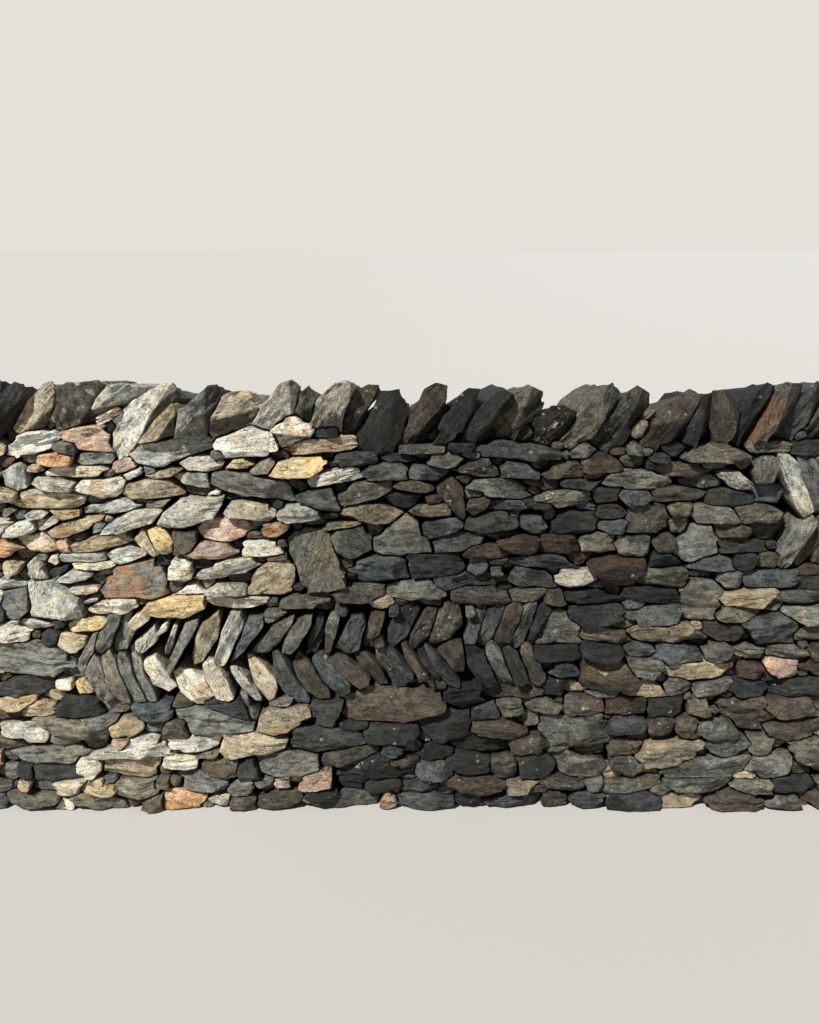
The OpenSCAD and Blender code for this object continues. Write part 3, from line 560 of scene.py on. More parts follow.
def hewSides(stones, rng, pointed=0.36):
    # Directions and distances of each stone's sides, in its own frame where half of each size is 1.
    # Ends and beds sit close to 1. Some corners run to a point at 0.78 to 1.04, some are cut a
    # little at 1.08 to 1.32, and the rest stay square at 1.45. A slab on edge has all its corners
    # cut, and its sides turn half as far.
    size = (len(stones), sideCount)
    plain = np.arange(sideCount) * math.pi / 4
    turn = plain + rng.normal(0, 1, size) * np.array(sideTurn)
    draw = rng.random(size)
    cut = np.where(draw < pointed, rng.uniform(0.78, 1.04, size),
                   np.where(draw < pointed + 0.34, rng.uniform(1.08, 1.32, size), 1.45))
    onEdge = np.isin(stones[:, 7:8], slabNodes)
    cut = np.where(onEdge, rng.uniform(0.9, 1.2, size), cut)
    turn = np.where(onEdge, 0.5 * (turn + plain), turn)
    away = np.where(np.arange(sideCount) % 2 == 0, rng.uniform(0.94, 1.04, size), cut)
    return np.stack([np.cos(turn) / away, np.sin(turn) / away], -1)


def withMore(stones, sides, fresh, rng, pointed=0.36):
    # fresh stones and their sides come after those laid before
    return np.concatenate([stones, fresh]), np.concatenate([sides, hewSides(fresh, rng, pointed)])


def gauge(sides, u, v):
    # distance of a point in a stone's own frame: 1 on the outline that its sides make
    shape = (len(sides),) + (1,) * (u.ndim - 1)
    best = sides[:, 0, 0].reshape(shape) * u + sides[:, 0, 1].reshape(shape) * v
    for k in range(1, sideCount):
        best = np.maximum(best, sides[:, k, 0].reshape(shape) * u + sides[:, k, 1].reshape(shape) * v)
    return best


def narrowing(stones, v, shape):
    # width at a share v of the height: 1 in the middle, less or more towards the head by the taper
    return np.clip(1 - stones[:, 5].reshape(shape) * v, 0.15, 1.8)


def ownDistance(stones, sides, px, pz):
    # a point is turned into the stone's frame and measured there
    turn = np.radians(stones[:, 4])
    shape = (-1,) + (1,) * (px.ndim - 1)
    c, s = np.cos(turn).reshape(shape), np.sin(turn).reshape(shape)
    dx, dz = px - stones[:, 0].reshape(shape), pz - stones[:, 1].reshape(shape)
    v = (dz * c - dx * s) / stones[:, 3].reshape(shape)
    u = (dx * c + dz * s) / (stones[:, 2].reshape(shape) * narrowing(stones, v, shape))
    return gauge(sides, u, v)


def straightened(px, pz, slack):
    # Outline of a few straight edges: between two corners the point that lies furthest from their
    # line becomes a corner too, until none is further than the slack. Gives the share of each ray
    # at which it meets its edge.
    points = np.stack([px, pz], -1)
    share = np.ones(px.shape)
    for stone, allowed, cut in zip(points, slack, share):
        first = int(np.argmax((stone ** 2).sum(-1)))
        second = int(np.argmax(((stone - stone[first]) ** 2).sum(-1)))
        waiting = [sorted((first, second)), [max(first, second), min(first, second) + rayCount]]
        while waiting:
            a, b = waiting.pop()
            start, along = stone[a % rayCount], stone[b % rayCount] - stone[a % rayCount]
            among = np.arange(a + 1, b) % rayCount
            if not len(among):
                continue
            ray = stone[among]
            off = ray - start
            away = np.abs(off[:, 0] * along[1] - off[:, 1] * along[0]) / max(np.hypot(*along), 1e-9)
            far = int(np.argmax(away))
            if away[far] > allowed:
                waiting += [[a, a + 1 + far], [a + 1 + far, b]]
                continue
            turn = ray[:, 0] * along[1] - ray[:, 1] * along[0]
            meet = (start[0] * along[1] - start[1] * along[0]) / np.where(np.abs(turn) < 1e-12, 1e-12, turn)
            cut[among] = np.clip(meet, 0.7, 1)
    return share


def outlineRays(stones, sides):
    # points of each stone's own outline round its middle, before it is fitted
    angle = 2 * math.pi * np.arange(rayCount) / rayCount - math.pi / 4
    c, s = (np.broadcast_to(way, (len(stones), rayCount)) for way in (np.cos(angle), np.sin(angle)))
    reach = 1 / gauge(sides, c, s)
    v = s * reach
    return stones[:, 2:3] * c * reach * narrowing(stones, v, (-1, 1)), stones[:, 3:4] * v


def turned(stones, qx, qz):
    # own coordinates turned by each stone's tilt
    turn = np.radians(stones[:, 4]).reshape((-1,) + (1,) * (qx.ndim - 1))
    return qx * np.cos(turn) - qz * np.sin(turn), qx * np.sin(turn) + qz * np.cos(turn)


def fitStones(stones, sides, span, rng):
    # Each ray leaves a stone's middle and stops where the next stone's distance becomes the
    # smaller, less half a joint; span is the lowest and highest x and z that stones may reach.
    ex, ez = outlineRays(stones, sides)
    wx, wz = turned(stones, ex, ez)
    reach = np.hypot(stones[:, 2], stones[:, 3])
    apart = np.hypot(stones[:, None, 0] - stones[None, :, 0], stones[:, None, 1] - stones[None, :, 1])
    apart -= reach[None, :]
    np.fill_diagonal(apart, 1e3)
    neighbours = np.argsort(apart, axis=1)[:, :nearCount]
    share = np.linspace(0.2, walling["growth"], stepCount)
    px = stones[:, 0, None, None] + wx[:, :, None] * share
    pz = stones[:, 1, None, None] + wz[:, :, None] * share
    inCope = stones[:, 1:2] > copeBed
    upward = wz > 0.35 * np.hypot(wx, wz)
    limit = np.where(upward & inCope, walling["headGrowth"],
                     np.where(inCope, walling["copeGrowth"], walling["growth"]))
    for beside in neighbours.T:
        lead = ownDistance(stones[beside], sides[beside], px, pz) - share
        crossed = lead < 0
        first = np.argmax(crossed, axis=2)
        hit = crossed.any(axis=2)
        before = np.maximum(first - 1, 0)
        f1 = np.take_along_axis(lead, first[..., None], 2)[..., 0]
        f0 = np.take_along_axis(lead, before[..., None], 2)[..., 0]
        part = np.where(first > 0, f0 / np.where(f0 - f1 == 0, 1, f0 - f1), 0)
        where = share[before] + part * (share[1] - share[0])
        limit = np.where(hit, np.minimum(limit, where), limit)
    for axis, middle, ray in ((0, stones[:, 0:1], wx), (1, stones[:, 1:2], wz)):
        room = np.where(ray > 0, span[1][axis] - middle, span[0][axis] - middle)
        with np.errstate(divide="ignore", invalid="ignore"):
            toEdge = np.where(np.abs(ray) > 1e-9, room / ray, 9)
        limit = np.minimum(limit, np.maximum(toEdge, 0.05))
    slack = np.clip(0.1 * np.minimum(stones[:, 2], stones[:, 3]), 1.4 * mm, 4 * mm)
    limit = limit * straightened(ex * limit, ez * limit, slack)
    # chipped outline: offsets at scattered points, joined by straight lines
    bites = rng.random((len(stones), chipCount)) ** 2
    at = np.arange(rayCount) * chipCount / rayCount
    low = at.astype(int)
    bite = bites[:, low] * (1 - (at - low)) + bites[:, (low + 1) % chipCount] * (at - low)
    size = np.minimum(stones[:, 2], stones[:, 3])[:, None]
    cut = walling["joint"] / 2 + bite * np.clip(0.12 * size, 0.8 * mm, 5 * mm)
    limit = np.clip(limit - cut / np.hypot(wx, wz), 0.12, None)
    return np.stack([ex * limit, ez * limit], -1)


def ruleRow(stones, sides, bed, sizes, rng, mixAt, node, kept=()):
    # Lays stones along a bed wherever nothing stands yet, none quite level or quite the same. Where
    # one doesn't fit or would lie in a kept area, the next is tried 18 mm further on.
    (x, right), z0, z1 = bed
    fresh = []
    while x < right:
        w = min(rng.uniform(*sizes) * rng.choice([0.7, 1, 1.25]), right - x)
        h = (z1 - z0) * rng.uniform(0.82, 1.18)
        cx, cz = x + w / 2, (z0 + z1) / 2 + rng.uniform(-6, 6)
        near = np.abs(stones[:, 0] - cx) < w / 2 + 220
        px = np.tile([cx, cx - 0.32 * w, cx + 0.32 * w, cx, cx], (int(near.sum()), 1))
        pz = np.tile([cz, cz, cz, cz - 0.28 * h, cz + 0.28 * h], (int(near.sum()), 1))
        free = not near.any() or ownDistance(stones[near], sides[near], px, pz).min() > 1.0
        free = free and not any(x0 < cx < x1 and low < cz < high for x0, low, x1, high in kept)
        if free:
            fresh.append([cx, cz, w / 2, h / 2, rng.normal(0, 3.5), rng.normal(0, 0.18),
                          rng.choice(len(kinds), p=mixAt(cx, cz)), node])
        x += w if free else 18
    return np.array(fresh).reshape(-1, 8)


def kindMix(**weights):
    # chance of each kind: its weight over the sum of them all
    p = np.array([weights.get(k, 0.0) for k in kinds])
    return p / p.sum()


palerMix = kindMix(white=2, cream=9, sand=3, buff=14, ochre=4, rust=2, pink=5, brown=9, redbrown=1,
                   olive=8, grey=16, palegrey=15, slate=8, dark=4)
darkerMix = kindMix(buff=3, ochre=1, pink=1, brown=17, redbrown=7, olive=16, grey=18, palegrey=0.5,
                    slate=18, dark=16)
pinMix = kindMix(buff=2, brown=6, redbrown=2, olive=5, grey=4, slate=3, dark=3)


def frontMix(x, z):
    # paler stone high on the left, and darker low down and to the right, partly as painted shade
    share = np.clip(0.5 - (x + 350) / 700, 0, 1) * np.clip(0.25 + z / 700, 0.3, 1)
    return share * palerMix + (1 - share) * darkerMix


def backMix(x, z):
    # the same stone all along the back
    return 0.42 * palerMix + 0.58 * darkerMix


def pinGaps(stones, sides, span, kept, rng, nodeAt, least=12, most=230, lean=0):
    # Drops a small stone into each hole that is left, the widest first, but not in kept areas.
    # A pin is as long as the hole runs level, so most are slivers. All sizes are in mm.
    step, widest, longest = 8, 32, 55
    xs, zs = (np.arange(span[0][axis] + 6, span[1][axis] - 5, step) for axis in (0, 1))
    gx, gz = np.meshgrid(xs, zs)
    clear = np.full(gx.shape, 1e3)
    for x0, z0, x1, z1 in kept:
        clear[(gx > x0) & (gx < x1) & (gz > z0) & (gz < z1)] = 0
    for stone, side in zip(stones, sides):
        reach = math.hypot(stone[2], stone[3]) + 70
        cols = slice(*np.searchsorted(xs, (stone[0] - reach, stone[0] + reach)))
        rows = slice(*np.searchsorted(zs, (stone[1] - reach, stone[1] + reach)))
        px, pz = gx[rows, cols], gz[rows, cols]
        d = ownDistance(stone[None], side[None], px[None], pz[None])[0]
        gap = np.hypot(px - stone[0], pz - stone[1]) * (1 - 1 / np.maximum(d, 1e-3))
        clear[rows, cols] = np.minimum(clear[rows, cols], gap)
    fresh = []
    while len(fresh) < most and clear.max() > least:
        row, col = np.unravel_index(int(np.argmax(clear)), clear.shape)
        half = min(clear[row, col], widest)
        level = clear[row] > 0.45 * half
        left = right = col
        while left > 0 and level[left - 1] and (col - left) * step < longest:
            left -= 1
        while right < len(xs) - 1 and level[right + 1] and (right - col) * step < longest:
            right += 1
        x, z = (xs[left] + xs[right]) / 2, zs[row]
        long = (xs[right] - xs[left]) / 2 + 0.6 * half
        stone = [x, z, max(long, half), half * rng.uniform(0.8, 1.0), lean + rng.normal(0, 6),
                 rng.normal(0, 0.25), rng.choice(len(kinds), p=pinMix), nodeAt(x, z)]
        fresh.append(stone)
        apart = np.hypot((gx - x) / (stone[2] / stone[3]), gz - z) - stone[3]
        clear = np.minimum(clear, np.where(np.abs(gx - x) < stone[2] + 20, apart, 1e3))
    return np.array(fresh).reshape(-1, 8)


# relief
def valueNoise(p, seed):
    # smooth value noise from -1 to 1: hashed corners of a unit lattice, blended by a smoothstep
    p = np.asarray(p, np.float64)
    i = np.floor(p).astype(np.int64)
    f = p - i
    f = f * f * (3 - 2 * f)
    total = 0
    for dx in (0, 1):
        for dy in (0, 1):
            for dz in (0, 1):
                h = (i[..., 0] + dx) * 374761393 + (i[..., 1] + dy) * 668265263
                h = h + (i[..., 2] + dz) * 2147483647 + seed * 974711
                h = (h ^ (h >> 13)) * 1274126177 & 0xFFFFFFFF
                h = (h ^ (h >> 16)) & 0xFFFFFF
                wx, wy, wz = (f[..., k] if d else 1 - f[..., k] for k, d in enumerate((dx, dy, dz)))
                total = total + wx * wy * wz * (h / 8388607.5 - 1)
    return total


def squareGrid(n):
    # a square grid drawn into a disc ring by ring: angle and share of the radius at each point
    s, t = np.meshgrid(np.linspace(-1, 1, n + 1), np.linspace(-1, 1, n + 1), indexing="ij")
    ring = np.maximum(np.abs(s), np.abs(t))
    safe = np.where(ring == 0, 1, ring)
    flat = np.abs(s) >= np.abs(t)
    across = np.where(s >= 0, 0, math.pi) + (math.pi / 4) * t / safe * np.sign(s + (s == 0))
    upward = np.where(t >= 0, math.pi / 2, -math.pi / 2) - (math.pi / 4) * s / safe * np.sign(t + (t == 0))
    return np.where(flat, across, upward).ravel(), ring.ravel()


def rimOrder(n):
    # the grid's outer points, anticlockwise from its lower right corner
    index = np.arange((n + 1) ** 2).reshape(n + 1, n + 1)
    return np.concatenate([index[n, :n], index[n:0:-1, n], index[0, n:0:-1], index[:n, 0]])


def gridFaces(n, rings):
    # quads of the front grid, of the side rings behind it, and triangles that close the back
    index = np.arange((n + 1) ** 2).reshape(n + 1, n + 1)
    front = np.stack([index[:-1, :-1], index[1:, :-1], index[1:, 1:], index[:-1, 1:]], -1).reshape(-1, 4)
    loops = [rimOrder(n)] + [(n + 1) ** 2 + r * 4 * n + np.arange(4 * n) for r in range(rings)]
    sides = [np.stack([a, b, np.roll(b, -1), np.roll(a, -1)], -1) for a, b in zip(loops[:-1], loops[1:])]
    last = loops[-1]
    middle = (n + 1) ** 2 + rings * 4 * n
    back = np.stack([last, np.full(4 * n, middle), np.roll(last, -1)], -1)
    return np.concatenate([front] + sides), back


def stoneBlock(stones, outline, n, look, face, rng):
    # Surface of each stone: a flat front whose edges are hewn off by eight slanting planes and
    # rounded at the rim, with split ledges along the bedding and noise; rings behind it carry
    # the sides in and a fan closes the back.
    count = len(stones)
    x0, z0, halfWide, halfHigh, tilt = (stones[:, k:k + 1] for k in range(5))
    angle, ring = squareGrid(n)
    ring = 1 - (1 - ring) ** look["rimCrowding"]
    at = ((angle + math.pi / 4) % (2 * math.pi)) * rayCount / (2 * math.pi)
    low = np.floor(at + 1e-9).astype(int)
    part = np.clip(at - low, 0, 1)[None, :, None]
    edgePoint = outline[:, low % rayCount] * (1 - part) + outline[:, (low + 1) % rayCount] * part
    qx, qz = ring * edgePoint[..., 0], ring * edgePoint[..., 1]
    edge = (1 - ring) * np.hypot(edgePoint[..., 0], edgePoint[..., 1])
    seeds = rng.random((count, 12))
    small = np.minimum(halfWide, halfHigh)
    # rounded rim
    width = np.clip(small * 0.25, 2 * mm, look["rimWidth"]) * (0.5 + seeds[:, 0:1])
    fall = np.clip(small * 0.2, 1.5 * mm, look["rimFall"]) * (0.5 + seeds[:, 1:2])
    rounding = -fall * np.clip(1 - edge / width, 0, 1) ** 2
    # Hewn planes towards the head, the foot, both ends and four odd corners; each has its own colour.
    # Shares of the reach at which a plane begins and of its slope have a range, another at the foot.
    hewn, plane = 0 * qx, rng.random((count, 1)) + 0 * qx
    for toward in (90, 270, 0, 180, 40, 220, 135, 315):
        atFoot, level = toward == 270, look["levelBeds"] and toward in (90, 270)  # level at any tilt
        way = np.radians(toward - level * tilt + rng.normal(0, 10 if level else 18, (count, 1)))
        extent = halfWide * np.abs(np.cos(way)) + halfHigh * np.abs(np.sin(way))
        begins = rng.uniform(*(look["footFrom"] if atFoot else (0.25, 0.92)), (count, 1))
        steep = rng.uniform(*(look["footSlope"] if atFoot else (0.15, 0.95)), (count, 1)) * look["hewSlope"]
        cut = steep * (begins * extent - np.cos(way) * qx - np.sin(way) * qz)
        if atFoot:
            # painted shade: the hewn foot plane is darkened where it turns down
            under = look["paintedUnderShade"] * np.clip(-cut / (3 * mm), 0, 1)
        plane = np.where(cut < hewn, rng.random((count, 1)), plane)
        hewn = np.minimum(hewn, cut)
    for _ in range(look["facets"]):
        way = rng.uniform(0, 2 * math.pi, (count, 1))
        extent = halfWide * np.abs(np.cos(way)) + halfHigh * np.abs(np.sin(way))
        cut = rng.uniform(0.08, 0.38, (count, 1)) * (
            rng.uniform(-0.4, 0.6, (count, 1)) * extent - np.cos(way) * qx - np.sin(way) * qz)
        plane = np.where(cut < hewn, rng.random((count, 1)), plane)
        hewn = np.minimum(hewn, cut)
    most = look["hewMost"] * (0.6 + 0.4 * seeds[:, 2:3])
    hewn = most * np.tanh(hewn / most)
    swing = rng.normal(0, 1, (count, 2)) * look["swing"] * np.array([0.7, 1.3])
    relief = rounding + hewn + swing[:, 0:1] * qx + swing[:, 1:2] * qz
    # split ledges, a few millimetres deep, that run along the bedding, wander and die out
    offset = 40 * rng.random((count, 1)) + 3
    place = np.stack([qx + offset, qz + 3 * offset, offset + 0 * qx], -1)
    layer = look["ledge"] * (0.7 + 1.1 * seeds[:, 8:9])
    height = qz / layer + 0.8 * valueNoise(place / 0.05, 5) + offset
    lowest = np.floor(height)
    step = np.stack([lowest, lowest + 1], 0)
    shown = np.sin(step * 127.1 + offset * 11.7) * np.sin(step * 31.7 + 1.3)
    blend = np.clip((height - lowest - 0.5) * 6 + 0.5, 0, 1)
    ledges = (shown[0] * (1 - blend) + shown[1] * blend) * np.clip(0.6 + valueNoise(place / 0.04, 6), 0, 1.2)
    relief = relief + look["ledgeDepth"] * (0.35 + 1.1 * seeds[:, 9:10]) * ledges
    # broken surface at 45, 19 and 9 mm: ridges of noise folded at zero, which leaves sharp creases
    for scale, deep, seed in ((0.045, 3.6, 1), (0.019, 2.0, 2), (0.009, 1.1, 3)):
        folded = 0.5 - 2 * np.abs(valueNoise(place * (0.6, 1.2, 1) / scale, seed))
        relief = relief + deep * mm * look["rough"] * folded * (0.6 + 0.8 * seeds[:, 6:7])
    relief = relief + (seeds[:, 10:11] - 0.5) * look["standOut"] - look["setBack"]
    dx, dz = turned(stones, qx, qz)
    x, z = x0 + dx, z0 + dz
    vertices = [np.stack([x, face(z, -relief, z0), z], -1)]
    bedding, facet = [np.stack([qx, -relief, qz], -1)], [plane]
    # the front's rim darkened a little within 2.5 mm of its edge, as soil and painted shade, and the hewn foot
    # as painted shade
    marksAndShade = [np.maximum(0.25 * np.clip(1 - edge / (2.5 * mm), 0, 1), under)]
    # sides: rings that wander, keep inside the wall's ends, and are chipped where those cut them
    rim = rimOrder(n)
    rimX, rimZ = qx[:, rim], qz[:, rim]
    for depth, waist in look["sides"]:
        wander = 1 + look["sideRough"] * valueNoise(
            np.stack([rimX / 0.03 + offset, rimZ / 0.02, depth / 0.04 + offset + 0 * rimX], -1), 7)
        keep = waist * (wander if 0 < depth else 1)
        sx, sz = rimX * keep, rimZ * keep
        wx, wz = turned(stones, sx, sz)
        deep = depth * look["depth"](z0) * (1 - look["short"] * seeds[:, 4:5]) + 0 * sx
        px, pz = x0 + wx, z0 + wz
        if look["headFall"]:  # the head of a cope stone drops towards its back
            high = np.clip((pz - copeBed) / 0.16, 0, 1)
            pz = pz - high * look["headFall"] * depth * (0.5 + seeds[:, 3:4])
        sunk = np.maximum(deep, 3 * mm - relief[:, rim])
        px = np.clip(px, mm - halfLength, halfLength - mm)
        atEnd = np.abs(px) > halfLength - 8 * mm
        chip = valueNoise(np.stack([deep / 0.07 + offset, pz / 0.011, px], -1), 8)
        rimOff = np.clip(1 - (halfHigh - np.abs(rimZ)) / (6 * mm), 0, 1) ** 2
        px = px - atEnd * np.sign(px) * (5 * mm * (1 + chip) + 5 * mm * rimOff) * (depth > 0)
        pz = np.clip(pz, 0, cadBox[1][2] - mm)
        vertices.append(np.stack([px, face(pz, sunk, z0), pz], -1))
        bedding.append(np.stack([sx, deep, sz], -1))
        # sides darken with depth into the wall, as soil in the joints and as painted shade; at the wall's ends
        # only near the beds
        soilAndShade = np.maximum(look["sideSoilAndShade"] * np.clip(sunk / (40 * mm), 0.3, 1), under[:, rim])
        marksAndShade.append(np.where(atEnd, 0.5 * rimOff, soilAndShade))
        facet.append(plane[:, rim])
    vertices.append(vertices[-1].mean(axis=1, keepdims=True))
    bedding.append(bedding[-1].mean(axis=1, keepdims=True))
    # the closed back takes the full darkening of soil and painted shade
    marksAndShade.append(np.full((count, 1), look["sideSoilAndShade"]))
    facet.append(plane[:, :1])
    grain = np.concatenate(bedding, 1) * (look["grainAlong"], 1, 1)
    grain = grain + np.stack([offset, offset * 1.7, offset * 0.6], -1)
    # each stone's random tone, lowered by painted shade that is heavier towards the middle and right of the
    # wall
    tone = np.broadcast_to(rng.random((count, 1)) - look["paintedShade"](x0), grain.shape[:2])
    marks = np.stack([tone, np.concatenate(facet, 1), np.concatenate(marksAndShade, 1)], -1)
    return np.concatenate(vertices, 1), grain, marks, *gridFaces(n, len(look["sides"]))


# How the stones of each part are hewn. The face is the plain case, and the others say what differs.
faceLook = dict(
    rimCrowding=1.3, rimWidth=3 * mm, rimFall=1.6 * mm,
    hewSlope=0.8, hewMost=26 * mm,                       # planes at the edges: how steep, how deep
    levelBeds=True, footFrom=(0.5, 0.95), footSlope=(0.6, 1.6),
    facets=3, swing=0.11,                                # odd planes, and how far the front is turned
    ledge=15 * mm, ledgeDepth=2.6 * mm, rough=1.1, sideRough=0.04,
    standOut=26 * mm, setBack=0, headFall=0, short=0,
    # how dark the sides turn with depth, as soil and painted shade, and how dark the hewn foot turns, as
    # painted shade
    sideSoilAndShade=1.0, paintedUnderShade=0, grainAlong=1.0, fineness=1.0,
    paintedShade=lambda x: np.interp(x, (-0.95, -0.65, -0.32, 0, 0.45, 0.85),
                             (-0.2, 0.4, 1.5, 1.75, 1.65, 0.9)),  # painted shade: darker towards the middle and right of the wall, as if out of the sun
    depth=lambda z: walling["heartFront"] + faceLine(z, walling["frontBatter"]),
    sides=((0.17, 1.0), (1.0, 0.9)),                     # rings behind: share of the depth, and width
    quoin=dict(short=0.12, sideRough=0.1,                # and more of them where an end shows
               sides=((0.04, 1.0), (0.12, 1.0), (0.25, 1.0), (0.4, 1.0), (0.56, 1.0), (0.72, 1.0),
                      (0.88, 0.99), (1.0, 0.9))),
)
slabLook = dict(faceLook, hewSlope=0.75, ledge=10 * mm, standOut=28 * mm)
pinLook = dict(faceLook, standOut=20 * mm, setBack=24 * mm, fineness=0.7)
copeLook = dict(
    faceLook, hewSlope=0.85, hewMost=44 * mm, facets=5, swing=0.12,
    levelBeds=False, footFrom=(0.02, 0.4), footSlope=(0.9, 1.5),  # a wide sheltered side at the foot
    ledge=20 * mm, ledgeDepth=2.2 * mm, rough=1.3, sideRough=0.08,
    # the cope's sheltered undersides carry full painted shade
    standOut=34 * mm, headFall=0.1, sideSoilAndShade=0.12, paintedUnderShade=1.0, grainAlong=1.3,
    # painted shade along the cope: its stones darker from the middle to the right
    paintedShade=lambda x: np.interp(x, (-0.85, -0.5, -0.3, 0.7, 1.0), (-0.2, 0.2, 1.8, 1.9, 1.4)),
    depth=lambda z: 0.36 + 0 * z,
    sides=((0.05, 1.0), (0.1, 1.0), (0.2, 0.98), (0.3, 1.0), (0.42, 0.97), (0.54, 0.98),
           (0.66, 0.96), (0.78, 0.95), (0.88, 0.94), (0.96, 0.9), (1.0, 0.8)),
    quoin={},
)
fillerLook = dict(copeLook, standOut=12 * mm, setBack=36 * mm)
backLook = dict(faceLook, paintedShade=lambda x: 0 * x, standOut=16 * mm, ledge=22 * mm, rough=1.2, fineness=0.57,
                depth=lambda z: faceLine(z, walling["backBatter"]) - walling["heartBack"])
endLook = dict(faceLook, paintedShade=lambda x: 0 * x, standOut=10 * mm, sideSoilAndShade=0.5, fineness=0.57, quoin={},
               depth=lambda z: 0.07 + 0 * z)


def battered(batter):
    # y of a point: a stone follows the batter at half its rate, so courses step back a little
    return lambda z, sunk, middle: sunk - 0.5 * (faceLine(z, batter) + faceLine(middle + 0 * z, batter))


frontFace = battered(walling["frontBatter"])
backFace = battered(walling["backBatter"])  # turned half round later


def copeFace(z, sunk, middle):
    # the cope stands upright on the line of the face under it
    return sunk - float(faceLine(copeBed, walling["frontBatter"])) + 0 * z


def endFace(z, sunk, middle):
    # upright, 9 mm inside the wall's end, and turned to it later
    return np.maximum(-halfLength + 9 * mm + 0 * z + sunk, mm - halfLength)


def aboutUp(points, quarterTurns):
    # turns points about the vertical by quarter turns, which keeps their faces outward
    x, y, z = points[..., 0], points[..., 1], points[..., 2]
    for _ in range(quarterTurns):
        x, y = -y, x
    return np.stack([x, y, z], -1)


# stone, as the eye sees it
def linear(code):
    # sRGB hex to linear
    values = [int(code[i:i + 2], 16) / 255 for i in (1, 3, 5)]
    return tuple(v / 12.92 if v <= 0.04045 else ((v + 0.055) / 1.055) ** 2.4 for v in values) + (1,)


def addNode(tree, kind, values, out=0, sockets=None, **settings):
    # adds a node with its settings, sets or links its inputs in turn, and gives one of its outputs
    node = tree.nodes.new("ShaderNode" + kind)
    for key, value in settings.items():
        setattr(node, key, value)
    for socket, value in zip(sockets or range(len(values)), values):
        if isinstance(value, bpy.types.NodeSocket):
            tree.links.new(value, node.inputs[socket])
        else:
            node.inputs[socket].default_value = value
    return node.outputs[out]


paint = dict(out=2, sockets=(0, 6, 7), data_type="RGBA")  # a Mix node of two colours by a factor

# What each stone gives the eye: its weathered face, the darker rock under it, and a stain with how
# much of the stone it takes, then how much crusty and spotted lichen grows on it
stoneKinds = dict(
    white=("quartz schist", "#f6f2e8", "#d3cec2", "#a39880", 0.15, 0.1, 0.1),
    cream=("cream siltstone", "#ece5d2", "#aca28c", "#a98f69", 0.3, 0.2, 0.2),
    sand=("yellow sandstone", "#f3deb0", "#c2a97c", "#c79f5f", 0.4, 0.15, 0.1),
    buff=("buff sandy slate", "#c4b89f", "#867b66", "#a08561", 0.3, 0.3, 0.2),
    ochre=("ochre slate", "#beb094", "#807560", "#a5844f", 0.4, 0.2, 0.15),
    rust=("iron stained slate", "#dab797", "#9b7d60", "#b98a5e", 0.4, 0.2, 0.15),
    pink=("pink brown slate", "#d3bba9", "#958071", "#a3826b", 0.35, 0.25, 0.2),
    brown=("brown slate", "#716a5e", "#3d3932", "#625241", 0.3, 0.25, 0.2),
    redbrown=("red brown slate", "#62564d", "#37302b", "#524131", 0.35, 0.15, 0.2),
    olive=("olive schist", "#88877a", "#4b4a42", "#746b52", 0.3, 0.35, 0.25),
    grey=("grey slate", "#8d8e86", "#51524e", "#756955", 0.2, 0.3, 0.25),
    palegrey=("pale grey schist", "#d2d1c5", "#8c8b82", "#90866f", 0.2, 0.3, 0.3),
    slate=("dark grey slate", "#6a6f70", "#35393a", "#565042", 0.15, 0.25, 0.25),
    dark=("black slate", "#444747", "#1e2020", "#3d3730", 0.2, 0.2, 0.25),
    patched=("iron patched slate", "#85857c", "#4c4b47", "#956f50", 0.6, 0.2, 0.1),
    lichened=("lichened slate", "#5b5a52", "#2c2b27", "#4d4839", 0.2, 0.62, 0.8),
)
# Noises of the rock: cells to the metre, detail, roughness, and a scale for each axis, where less
# than 1 on the first two draws the pattern out along the bedding
rockNoises = dict(
    mottle=(48, 7, 0.74, (0.7, 1, 1)),        # patches of about 20 mm with crumbled edges
    fine=(300, 3, 0.7, (1, 1, 1)),            # grains of 3 mm
    layers=(60, 5, 0.66, (0.4, 0.4, 1.3)),    # beds about 13 mm thick, drawn out threefold
    streaks=(150, 4, 0.7, (0.42, 0.42, 1)),   # split edges of beds, 7 mm thick
    broad=(14, 4, 0.6, (1, 1, 1)),            # stains of 70 mm
    growth=(30, 7, 0.75, (1, 1, 1)),          # lichen of 30 mm
    strata=(24, 4, 0.62, (0.25, 0.25, 1.5)),  # long splits along the bedding
    warmth=(10, 3, 0.6, (1, 1, 1)),           # warm and cool patches of 100 mm
    speckle=(150, 4, 0.75, (1, 1, 1)),        # pits and crumbs of 7 mm
)
# crack, pit, the dark of the joints, which is soil and painted shade, then the lichen's colours
rockColours = dict(crack="#221f1b", pit="#24211d", soilAndShade="#1d1a16", oldCrust="#a19e8d", crust="#ebe9dc",
                   spot="#b4b3a5")
rockFinish = {"Roughness": 0.88, "Specular IOR Level": 0.3}  # dry split stone, matt


